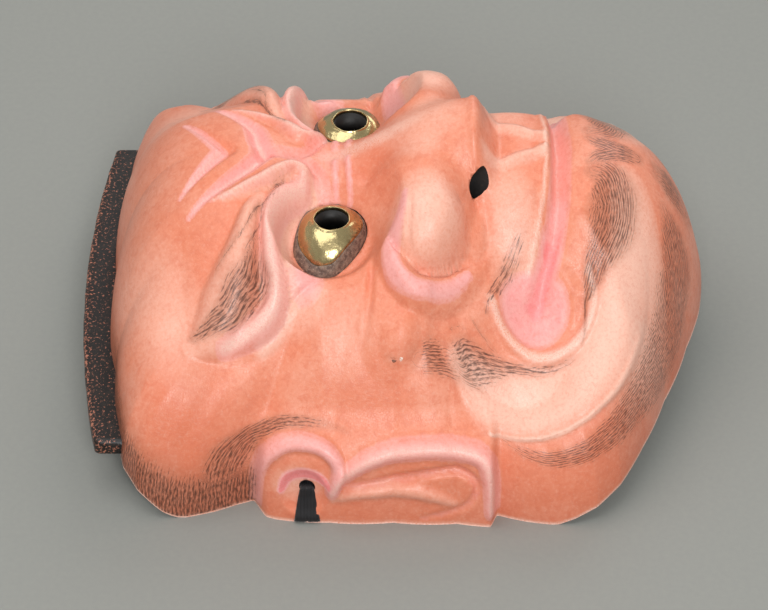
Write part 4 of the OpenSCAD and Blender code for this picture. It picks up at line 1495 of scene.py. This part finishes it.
@dataclass
class EyeSeat:
    """Seat, gilt cap and putty bed of one eye, about the middle of the sphere the cap lies on."""

    pattern: CarverPattern
    side: Side
    outline: Points = ((-9.6, 4.5), (-10.2, -0.5), (-8.8, -6), (-5, -10), (0.5, -11), (7.5, -7.9),
                       (14, -1.8), (15, 2.8), (13.6, 7), (8.8, 11), (3, 12), (-5.2, 9.8))
    cap_r: float = 15
    cap_th: float = 1
    pupil_r: float = 5.4
    bore_r: float = 5
    gold_r: float = 14
    burr_h: float = 0.3
    dent_h: float = 0.07
    edge_drop: float = 0.35
    putty_w: float = 1.3
    putty_h: float = 0.45
    gap: float = 0.05
    floor_z: float = 4
    core_root: float = 0.6
    lid_z: float = 6.9
    bore_end: float = -27
    open_end: float = 32
    turns: int = 120

    @property
    def centre(self) -> Array:
        """Middle of the cap's sphere in millimetres.

        Returns:
            Its x, y and z.
        """
        p, left = self.pattern, self.side is Side.LEFT
        return np.array([self.side.value * p.eye_x, p.eye_y - (p.left_drop if left else 0),
                         p.ball_z]) * p.stretch

    @property
    def angles(self) -> Array:
        """Directions round the eye in radians."""
        return circle(self.turns)

    def opening(self) -> Array:
        """Radius of the opening in each direction, read off its smooth outline by angle.

        Returns:
            One radius a direction.
        """
        line = spline(self.outline, 8, closed=True)
        angle, radius = np.arctan2(line[:, 1], line[:, 0]), np.hypot(line[:, 0], line[:, 1])
        order = np.argsort(angle)
        return np.interp(self.angles, angle[order], radius[order], period=2 * math.pi)

    def gold_edge(self) -> Array:
        """Radius of the gilt cap in each direction: the opening inset by the putty, or gold_r."""
        return np.minimum(self.opening() * (1 - self.putty_w / 10.5), self.gold_r)

    def floor(self, radius: Array) -> Array:
        """Height of the seat's sloping floor."""
        return self.floor_z - self.pattern.lid_slope * radius * np.cos(self.angles)

    def dome(self, ball: float, radius: Array) -> Array:
        """Height of a sphere of radius ball over a point so far from its middle."""
        return np.sqrt(np.maximum(ball * ball - radius * radius, 0))

    def revolve(self, rings: Sequence[tuple[Array, Array]],
                ends: Sequence[float] | None = None) -> tuple[Array, ...]:
        """Rings of points round the eye joined by quads, closed on themselves or by fans.

        Args:
            rings: radius and height of each ring in every direction.
            ends: heights of a middle point below the first and above the last ring, or None to
                join the last ring to the first.

        Returns:
            Points in millimetres and groups of faces.
        """
        radius = np.array([np.broadcast_to(r, self.turns) for r, _ in rings])
        height = np.array([np.broadcast_to(h, self.turns) for _, h in rings])
        way = np.stack([np.cos(self.angles), np.sin(self.angles)], -1)
        points = np.concatenate([radius[..., None] * way, height[..., None]], -1).reshape(-1, 3)
        if ends is not None:
            points = np.vstack([points, [0, 0, ends[0]], [0, 0, ends[1]]])
        placed = points * (self.side.value, 1, 1) + self.centre
        return placed, *sweep_faces(len(rings), self.turns, ends is None)

    def pocket(self) -> tuple[Array, ...]:
        """Solid that is cut out of the wood: the seat of cap and putty, and the pupil's bore.

        Returns:
            Points and groups of faces.
        """
        bore, opening = np.full(self.turns, self.bore_r), self.opening()
        rings = [(bore, self.bore_end), (bore, self.floor(bore)), (opening, self.floor(opening)),
                 (opening, self.open_end)]
        return self.revolve(rings, ends=(self.bore_end, self.open_end))

    def core(self, finish: Look) -> Piece:
        """Wooden dome left standing in the seat, which the cap lies on; the pupil runs through it.

        Args:
            finish: its material.

        Returns:
            The object.
        """
        ball = self.cap_r - self.cap_th - self.gap
        bore, gold = np.full(self.turns, self.bore_r), self.gold_edge()
        rings = [(bore, self.floor(bore) - self.core_root)]
        rings += [(bore + (gold - bore) * t, self.dome(ball, bore + (gold - bore) * t))
                  for t in np.linspace(0, 1, 9)]
        rings.append((gold, self.floor(gold) - self.core_root))
        solid = self.revolve(rings)
        return closed_piece(f"eye_core_{self.side.word}", solid[0], solid[1:], finish)

    def cap(self, finish: Look) -> Piece:
        """Gilt cap: a sheet of copper domed to the sphere, its pupil's edge turned up in a burr.

        Its rings run from the pupil out over the top and back under it. The burr and the ragged edge
        fall off as exp(-share), and shallow dents run as sines round and across.

        Args:
            finish: its material.

        Returns:
            The object.
        """
        inner, gold = self.pupil_r, self.gold_edge()
        share = np.linspace(0, 1, 26)
        wave = 0.10 * np.sin(5 * self.angles) + 0.06 * np.sin(9 * self.angles + 1)
        top = []
        for t in share:
            radius = inner + (gold - inner) * t
            burr = self.burr_h * math.exp(-((t - 0.05) / 0.05) ** 2)
            dent = self.dent_h * np.sin(7 * self.angles + 9 * t) * math.sin(math.pi * t)
            ragged = wave * math.exp(-t / 0.08)
            drop = self.edge_drop * max(0, (t - 0.93) / 0.07) ** 2
            top.append((radius + ragged, self.dome(self.cap_r, radius) + burr + dent - drop))
        under = self.cap_r - self.cap_th
        low = [(inner + (gold - inner) * t, self.dome(under, inner + (gold - inner) * t))
               for t in (1, 0.66, 0.33, 0)]
        rim_side = (gold, self.dome(under, gold) + 0.3)
        pupil_side = (inner, low[-1][1] + 0.5)
        rings = [*top, rim_side, *low, pupil_side]
        solid = self.revolve(rings)
        piece = closed_piece(f"gilt_eye_{self.side.word}", solid[0], solid[1:], finish)
        rim = np.exp(-(share / 0.07) ** 2) + np.exp(-((1 - share) / 0.12) ** 2)
        low_side = 0.5 - 0.5 * np.sin(self.angles)
        wear = np.zeros((len(rings), self.turns, 4))
        wear[:len(share), :, 0] = rim[:, None]
        wear[:len(share), :, 1] = share[:, None] * low_side[None]
        wear[len(share):] = 1
        paint_corners(piece, "wear", wear.reshape(-1, 4))
        return piece

    def putty(self, finish: Look) -> Piece:
        """Putty bed: a lumpy ring from the cap's edge to the lid, thick at the outer corner.

        Its top runs straight from cap to lid, crowned by half a sine, with three sines round it for lumps.

        Args:
            finish: its material.

        Returns:
            The object.
        """
        gold, opening = self.gold_edge() + self.gap, self.opening() - self.gap
        turn = self.angles
        lumps = (0.22 * np.sin(6 * turn + 0.6) + 0.16 * np.sin(11 * turn + 2) + 0.1 * np.sin(23 * turn))
        inner_z = self.dome(self.cap_r, gold) - 0.25
        outer_z = np.minimum(inner_z, self.lid_z - self.pattern.lid_slope * opening * np.cos(turn))
        rings = []
        for t in np.linspace(0, 1, 10):
            radius = gold + (opening - gold) * t
            crown = math.sin(math.pi * t)
            height = inner_z + (outer_z - inner_z) * t + crown * (self.putty_h + lumps)
            rings.append((radius, height - 0.35 * math.exp(-t / 0.06)))
        rings += [(opening, self.floor(opening) + self.gap), (gold, self.floor(gold) + self.gap)]
        solid = self.revolve(rings)
        return closed_piece(f"putty_bed_{self.side.word}", solid[0], solid[1:], finish)


# ---- band and cords


@dataclass
class CrownBand:
    """Black band beyond the forehead, a curved bar with rounded edges."""

    pattern: CarverPattern
    half: float = 71.5
    width: float = 15
    thickness: float = 6
    arc_r: float = 390
    top_y: float = 100.5
    round_r: float = 1.3
    worn_reach: float = 1.4
    steps: int = 90

    def build(self, finish: Look) -> Piece:
        """Sweeps a rounded section along the arc, drawn in at both ends, and closes them.

        Args:
            finish: its material.

        Returns:
            The object.
        """
        stretch = self.pattern.stretch
        radius, top = self.arc_r * stretch[1], self.top_y * stretch[1]
        low = self.pattern.top_lift * stretch[2] + 0.02
        x = np.linspace(-1, 1, self.steps + 1)
        x = self.half * np.sign(x) * (1 - (1 - np.abs(x)) ** 1.3)
        edge = top - radius + np.sqrt(radius ** 2 - x ** 2)
        turn = np.radians(np.arange(0, 91, 22.5))
        r, h = self.round_r, self.thickness
        corner_low = np.stack([-r + r * np.sin(turn), r - r * np.cos(turn)], -1)
        corner_top = np.stack([-r + r * np.cos(turn), h - r + r * np.sin(turn)], -1)
        top_run = np.stack([np.linspace(-r, -self.width, 8)[1:], np.full(7, h - 0.02)], -1)
        low_run = np.stack([np.linspace(-self.width, -r, 8)[:-1], np.zeros(7)], -1)
        section = np.vstack([corner_low, corner_top, top_run, low_run])
        inset = 0.9 * r * np.maximum(0, (np.abs(x) - self.half + r) / r) ** 2
        wave = 0.12 * np.sin(x / 6.3) + 0.08 * np.sin(x / 2.9 + 1)
        mid = np.array([-self.width / 2, h / 2])
        pulled = section[None] - np.sign(section - mid)[None] * inset[:, None, None]
        points = np.stack([np.broadcast_to(x[:, None], pulled.shape[:2]),
                           pulled[..., 0] + (edge - np.abs(wave))[:, None],
                           pulled[..., 1] + low], -1)
        flat = np.vstack([points.reshape(-1, 3), points[0].mean(0), points[-1].mean(0)])
        piece = closed_piece("crown_band", flat, sweep_faces(len(points), len(section), False), finish)
        near = np.minimum(np.hypot(section[:, 0] + 0.4, section[:, 1] - h + 0.4),
                          np.hypot(section[:, 0] + 0.4, section[:, 1] - 0.4))
        wear = np.zeros((len(flat), 4))
        wear[:-2, 0] = np.tile(np.exp(-(near / self.worn_reach) ** 2), len(points))
        wear[-2:, 0] = 1
        paint_corners(piece, "wear", wear)
        return piece


@dataclass
class CordLoop:
    """Flat silk cord round the edge under the ear, through its hole to a knot inside."""

    pattern: CarverPattern
    side: Side
    hole_y: float = 27
    hole_z: float = 12
    narrow: float = 4
    wide: float = 8.5
    thick: float = 1
    inner_x: float = 71.6
    inner_rise: float = 3
    knot_r: float = 3
    strand_r: float = 0.95
    wall_from: float = 66
    strip: float = 1.2

    def wall(self, front: FaceSheet, height: Array) -> Array:
        """Outer face of the ear beside the hole, read off the carved front in a narrow strip.

        Args:
            front: the carved front.
            height: heights above the resting edge.

        Returns:
            Distance from the middle line.
        """
        x, y, z = (front.points[..., i] for i in range(3))
        strip = ((x * self.side.value > self.wall_from) & (np.abs(y - self.hole_y) < self.strip)
                 & (z < 2 * self.hole_z))
        order = np.argsort(z[strip])
        return np.interp(height, z[strip][order], np.abs(x[strip])[order])

    def build(self, front: FaceSheet, finish: Look) -> Piece:
        """Makes the flat cord as a closed ring of sections, each with two plaits side by side.

        Its line runs up the ear's wall, in through the hole, down inside and back under the edge, and
        each point is eased a quarter towards each neighbour. It widens as it nears the edge.

        Args:
            front: the carved front.
            finish: its material.

        Returns:
            The object.
        """
        half, sx = self.thick / 2, self.pattern.stretch[0]
        box_x = abs(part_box(f"cord_loop_{self.side.word}")[0 if self.side is Side.RIGHT else 1].x) / MM
        rise = np.linspace(half, self.hole_z, 16)
        out = np.stack([np.minimum(self.wall(front, rise) + half, box_x - half - 0.02), rise], -1)
        inside = np.stack([self.inner_x * sx - half - self.inner_rise * rise[::-1] / self.hole_z,
                           rise[::-1]], -1)
        through = np.stack([np.linspace(out[-1, 0], inside[0, 0], 8)[1:-1], np.full(6, self.hole_z)], -1)
        under = np.stack([np.linspace(inside[-1, 0], out[0, 0], 10)[1:-1], np.full(8, half)], -1)
        path = np.vstack([out, through, inside, under])
        smooth = (np.roll(path, 1, 0) + 2 * path + np.roll(path, -1, 0)) / 4
        smooth[:, 1] = np.maximum(smooth[:, 1], half + 0.01)
        way = unit(np.roll(smooth, -1, 0) - np.roll(smooth, 1, 0))
        normal = np.stack([way[:, 1], -way[:, 0]], -1)
        width = self.narrow + (self.wide - self.narrow) * (1 - smooth[:, 1] / self.hole_z) ** 0.85
        width[len(out):len(out) + len(through)] = self.narrow
        u = np.linspace(-1, 1, 25)
        ribs = 0.78 + 0.22 * np.abs(np.sin(u * 6 * math.pi)) ** 0.6 - 0.5 * np.exp(-(u / 0.07) ** 2)
        face = np.concatenate([np.stack([u, ribs * (1 - 0.6 * u ** 8)], -1),
                               np.stack([u[::-1], -ribs[::-1] * (1 - 0.6 * u ** 8)], -1)])
        sections = smooth[:, None] + normal[:, None] * (face[:, 1] * half * 0.96)[None, :, None]
        points = np.stack([sections[..., 0] * self.side.value,
                           self.hole_y * self.pattern.stretch[1] + face[:, 0][None] * width[:, None] / 2,
                           np.maximum(sections[..., 1], 0.01)], -1)
        piece = closed_piece(f"flat_cord_{self.side.word}", points,
                             sweep_faces(len(path), len(face), True), finish)
        run = np.cumsum(np.linalg.norm(np.diff(smooth, axis=0, prepend=smooth[-1:]), axis=1))
        weave = np.zeros((len(path), len(face), 4))
        weave[..., 0], weave[..., 1] = face[:, 0][None] * width[:, None] / 2, run[:, None]
        paint_corners(piece, "weave", weave.reshape(-1, 4))
        return piece

    def knot(self, finish: Look) -> Piece:
        """Overhand knot inside: a round cord on a trefoil line, within the CAD knot's box.

        The trefoil is sin t + 2 sin 2t and cos t - 2 cos 2t, with sin 3t for its depth.

        Args:
            finish: its material.

        Returns:
            The object.
        """
        low, high = (Vector(corner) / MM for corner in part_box(f"cord_knot_{self.side.word}"))
        middle = np.array((low + high) / 2)
        t, turn = circle(180), circle(20)
        line_r = self.knot_r - 1
        line = np.stack([np.sin(3 * t) * 0.95 * line_r, (np.sin(t) + 2 * np.sin(2 * t)) * line_r / 3,
                         (np.cos(t) - 2 * np.cos(2 * t)) * line_r / 3], -1)
        way = unit(np.roll(line, -1, 0) - np.roll(line, 1, 0))
        right = unit(np.cross(way, unit(line)))
        up = np.cross(right, way)
        strand = self.strand_r * (1 - 0.07 * np.abs(np.sin(2.5 * turn[None] + 12 * t[:, None])))
        ring = (line[:, None] + strand[..., None] * (np.cos(turn)[None, :, None] * right[:, None]
                                                     + np.sin(turn)[None, :, None] * up[:, None]))
        piece = closed_piece(f"knot_{self.side.word}", ring + middle,
                             sweep_faces(len(t), len(turn), True), finish)
        weave = np.zeros((len(t), len(turn), 4))
        weave[..., 0], weave[..., 1] = self.strand_r * turn[None], (t * 2.5)[:, None]
        paint_corners(piece, "weave", weave.reshape(-1, 4))
        return piece


# ---- camera and image points


@dataclass(frozen=True)
class StillCamera:
    """Camera of the photograph: it looks down across the face from the mask's right side."""

    azimuth: float = 270
    elevation: float = 42
    distance: float = 1.3
    pixels_per_mm: float = 3.07
    image: tuple[int, int] = (768, 610)
    sensor: float = 36.0
    target: Triple = (0, 0.0029, 0.015)
    shift: Pair = (0.0, 0.0)

    def build(self) -> Piece:
        """Makes the camera and sets it as the scene's own.

        Returns:
            The camera object.
        """
        data = bpy.data.cameras.new("still_camera")
        data.sensor_fit, data.sensor_width = "AUTO", self.sensor
        data.lens = self.pixels_per_mm * self.distance / MM / max(self.image) * self.sensor
        data.shift_x, data.shift_y = self.shift
        data.clip_start, data.clip_end = 0.05, 20
        camera = bpy.data.objects.new("still_camera", data)
        bpy.context.scene.collection.objects.link(camera)
        around, up = math.radians(self.azimuth), math.radians(self.elevation)
        back = Vector((math.sin(around) * math.cos(up), -math.cos(around) * math.cos(up),
                       math.sin(up)))
        camera.location = Vector(self.target) + back * self.distance
        camera.rotation_mode = "QUATERNION"
        camera.rotation_quaternion = (-back).to_track_quat("-Z", "Y")
        bpy.context.scene.camera = camera
        bpy.context.view_layer.update()
        return camera

    def pixels(self, camera: Piece, points: Array) -> Array:
        """Image x and y of points in metres.

        Args:
            camera: the camera object.
            points: one row a point.

        Returns:
            One row of pixels a point.
        """
        into = np.array(camera.matrix_world.inverted())
        local = np.asarray(points, float).reshape(-1, 3) @ into[:3, :3].T + into[:3, 3]
        long_side = max(self.image)
        scale = long_side * camera.data.lens / self.sensor / -local[:, 2]
        return np.stack([self.image[0] / 2 - self.shift[0] * long_side + local[:, 0] * scale,
                         self.image[1] / 2 + self.shift[1] * long_side - local[:, 1] * scale], -1)

    def place(self, camera: Piece, tree: BVHTree,
              pixel: Sequence[float]) -> tuple[Vector, Vector]:
        """Place on a finished surface under an image point; a miss takes the nearest place.

        The ray runs along (x - W/2 + shift_x*L, H/2 - y + shift_y*L, -L*lens/sensor_width).

        Args:
            camera: the camera object.
            tree: what carries the piece, as finished and placed.
            pixel: the image point.

        Returns:
            The place and the surface's normal.
        """
        long_side = max(self.image)
        ray = Vector((pixel[0] - self.image[0] / 2 + self.shift[0] * long_side,
                      self.image[1] / 2 - pixel[1] + self.shift[1] * long_side,
                      -long_side * camera.data.lens / self.sensor)).normalized()
        start, way = camera.matrix_world.translation, camera.matrix_world.to_3x3() @ ray
        spot, normal, _, _ = tree.ray_cast(start, way)
        if spot is None:
            spot, normal, _, _ = tree.find_nearest(start + way * self.distance)
        return spot, normal


# The only pixel coordinates: places seen in the photograph's frame.
IMAGE_POINTS: dict[str, tuple[float | None, float | None]] = {
    "left": (83.3, None),
    "right": (703, None),
    "top": (None, 70),
    "bottom": (None, 525),
    "near_pupil": (331.7, 217.4),
    "far_pupil": (351.2, 117.9),
    "upper_chevron": (227, 153),
    "lower_chevron": (261, 161.5),
    "near_nostril": (478, 178),
    "dimple": (535, 320),
    "cord_hole": (307, 487),
    "band_corner": (94.3, 449.5),
    "mole": (394, 361),
    "chip": (401, 359),
}


@dataclass(frozen=True)
class SkinMark:
    """A small dab that lies on the painted skin: a low dome of a few tenths of a millimetre."""

    name: str
    radii: Pair
    height: float
    sink: float = 0.15
    root: float = 0.3

    def build(self, spot: Vector, normal: Vector, finish: Look) -> Piece:
        """Makes the dab on the surface.

        Args:
            spot: its place.
            normal: the surface's normal there.
            finish: its material.

        Returns:
            The object.
        """
        turn = circle(28)
        share = np.linspace(1, 0.08, 8)
        ragged = 1 + 0.14 * np.sin(3 * turn + 0.7) + 0.09 * np.sin(7 * turn)
        radius = share[:, None] * ragged[None]
        up = np.broadcast_to((self.height * (1 - share ** 2) - self.sink * share ** 6)[:, None],
                             radius.shape)
        flat = np.stack([radius * np.cos(turn) * self.radii[0], radius * np.sin(turn) * self.radii[1],
                         up], -1).reshape(-1, 3)
        points = np.vstack([flat, [0, 0, -self.root], [0, 0, self.height]])
        standing = np.array(normal.to_track_quat("Z", "Y").to_matrix())
        return closed_piece(self.name, points @ standing.T + np.array(spot) / MM,
                            sweep_faces(len(share), len(turn), False), finish)


# ---- studio


@dataclass(frozen=True)
class Studio:
    """Seamless paper and large soft lamps round the mask."""

    floor_reach: float = 4
    floor_gap: float = 0.05
    aim: Triple = (0, 0, 0.04)
    room_colour: str = "f2f2f0"
    room_strength: float = 0.5

    def build(self) -> None:
        """Makes the floor, the lamps and the world's even light."""
        corners = np.array([(-1, -1, 0), (1, -1, 0), (1, 1, 0), (-1, 1, 0)]) * self.floor_reach / MM
        floor = make_mesh("paper_floor", corners - (0, 0, self.floor_gap), [np.array([[0, 1, 2, 3]])],
                          [0], [StudioPaper().build()], False)
        self.lamp("top_soft_box", (-0.1, 0.45, 1.5), 1.2, 9)
        self.lamp("far_soft_box", (1.1, -0.45, 0.95), 0.8, 5)
        self.lamp("near_soft_box", (-1.2, -0.1, 0.95), 0.45, 10.5)
        world = bpy.data.worlds.new("studio_room")
        world.use_nodes = True
        room = world.node_tree.nodes["Background"]
        room.inputs["Color"].default_value = linear(self.room_colour)
        room.inputs["Strength"].default_value = self.room_strength
        bpy.context.scene.world = world

    def lamp(self, name: str, place: Sequence[float], size: float, power: float) -> None:
        """Adds a square area lamp that looks at the mask.

        Args:
            name: the lamp's name.
            place: where it stands, in metres.
            size: its side in metres.
            power: its power in watts.
        """
        data = bpy.data.lights.new(name, "AREA")
        data.shape, data.size, data.energy = "SQUARE", size, power
        lamp = bpy.data.objects.new(name, data)
        bpy.context.scene.collection.objects.link(lamp)
        lamp.location = place
        lamp.rotation_mode = "QUATERNION"
        lamp.rotation_quaternion = (Vector(self.aim) - Vector(place)).to_track_quat("-Z", "Y")


# ---- the whole mask


class NohMask:
    """The mask: builds each sub-assembly, hands it to the frame and works out where it shows."""

    def __init__(self, camera: StillCamera) -> None:
        """Works out the front and makes the camera and finishes.

        Args:
            camera: the photograph's camera.
        """
        self.pattern = CarverPattern()
        self.shell_plan = ShellPiece(self.pattern)
        self.front = carve_front(self.pattern, self.shell_plan.front_cells)
        self.still = camera
        self.camera = camera.build()
        self.skin, self.back, self.bore, self.gilt, self.clay, self.silk = (
            finish().build() for finish in (PaintedGofun, BackLacquer, BoreLacquer, GiltCopper,
                                            LacquerPutty, SilkCord))
        self.eyes = [EyeSeat(self.pattern, side) for side in Side]
        self.pieces: dict[str, Piece] = {}

    def keep(self, piece: Piece, slot: str, *nodes: str) -> None:
        """Hands a piece to the frame: it rides the body and stands for its nodes, which it hides.

        Args:
            piece: the object.
            slot: the part's material slot; not used.
            nodes: the nodes that it replaces.
        """
        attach(piece, "root")
        if nodes:
            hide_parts(*nodes)
        self.pieces[piece.name] = piece
        LOG.info("%s: %d faces", piece.name, len(piece.data.polygons))

    def build(self) -> None:
        """Makes all the pieces."""
        shell = self.shell_plan.build(self.front, self.eyes, [self.skin, self.back, self.bore])
        self.keep(shell, "painted_wood", "carved_shell")
        self.keep(CrownBand(self.pattern).build(BandLacquer().build()), "painted_wood")
        for eye in self.eyes:
            self.keep(eye.core(self.bore), "painted_wood")
            self.keep(eye.cap(self.gilt), "gilt_copper", f"eye_cap_{eye.side.word}")
            self.keep(eye.putty(self.clay), "eye_putty", f"eye_putty_{eye.side.word}")
        for side in Side:
            cord = CordLoop(self.pattern, side)
            self.keep(cord.build(self.front, self.silk), "silk_cord", f"cord_loop_{side.word}")
            self.keep(cord.knot(self.silk), "silk_cord", f"cord_knot_{side.word}")
        self.marks(shell)

    def marks(self, shell: Piece) -> None:
        """Adds the small mole and the chip beside it, where the photograph shows them.

        Args:
            shell: the shell, which carries them.
        """
        bpy.context.view_layer.update()
        tree = BVHTree.FromObject(shell, bpy.context.evaluated_depsgraph_get())
        plans = (("mole", SkinMark("mole_dab", (0.75, 0.6), 0.25), PaintDab("dark_dab", "5e4034")),
                 ("chip", SkinMark("ground_chip", (0.6, 0.9), 0.1), PaintDab("white_ground", "fbe9dc")))
        for name, mark, finish in plans:
            spot, normal = self.still.place(self.camera, tree, IMAGE_POINTS[name])
            self.keep(mark.build(spot, normal, finish.build()), "painted_wood")

    def vertices(self, *names: str) -> Array:
        """Finished vertices of pieces, in metres.

        Args:
            names: the pieces' names.

        Returns:
            One row a vertex.
        """
        found = []
        for name in names:
            mesh = self.pieces[name].data
            flat = np.empty(3 * len(mesh.vertices), np.float32)
            mesh.vertices.foreach_get("co", flat)
            found.append(flat.reshape(-1, 3))
        return np.vstack(found).astype(float)

    def on_front(self, x: float, y: float) -> Array:
        """The carved front's point nearest to a place on the pattern, in metres."""
        away = np.hypot(self.front.points[..., 0] - x, self.front.points[..., 1] - y)
        return self.front.points.reshape(-1, 3)[np.argmin(away)] * MM

    def note_points(self) -> None:
        """Works out where each thing that an image point stands for shows in the image."""
        everything = self.still.pixels(self.camera, self.vertices(*self.pieces))
        low, high = everything.min(0), everything.max(0)
        turn = np.linspace(0, 2 * math.pi, 60)[:, None]
        ring = np.hstack([np.cos(turn), np.sin(turn), 0 * turn])
        pupils = [(eye.pupil_r * ring + (0, 0, eye.cap_r - eye.cap_th) + eye.centre) * MM
                  for eye in self.eyes]
        nostril = (np.array(self.shell_plan.nostril_at) * (Side.RIGHT.value, 1, 1)
                   * self.pattern.stretch)
        band = self.vertices("crown_band")
        # what each image point shows, by its place on the pattern or on a finished piece
        shown = {
            "left": low, "right": high, "top": low, "bottom": high,
            "near_pupil": self.middle(pupils[0]), "far_pupil": self.middle(pupils[1]),
            "upper_chevron": self.middle(self.on_front(0, 53)),
            "lower_chevron": self.middle(self.on_front(0, 41)),
            "near_nostril": self.middle((nostril + (0, 0.6, -0.7)) * MM),
            "dimple": self.middle(self.on_front(-43.5, -44.2)),
            "cord_hole": self.middle(np.array([-80.6, 26.9, 12]) * MM),
            "band_corner": self.middle(band[np.argmin(band[:, 0] - band[:, 1] * 0.5)]),
            "mole": self.middle(self.vertices("mole_dab")),
            "chip": self.middle(self.vertices("ground_chip")),
        }

    def middle(self, points: Array) -> Array:
        """Middle of what points cover in the image."""
        at = self.still.pixels(self.camera, points)
        return (at.min(0) + at.max(0)) / 2


def main() -> None:
    """Builds the mask in its studio."""
    logging.basicConfig(level=logging.INFO, format="%(name)s %(message)s")
    bpy.context.scene.view_settings.view_transform = "Standard"
    mask = NohMask(StillCamera())
    mask.build()
    Studio().build()
    mask.note_points()


if __name__ == "__main__":
    main()
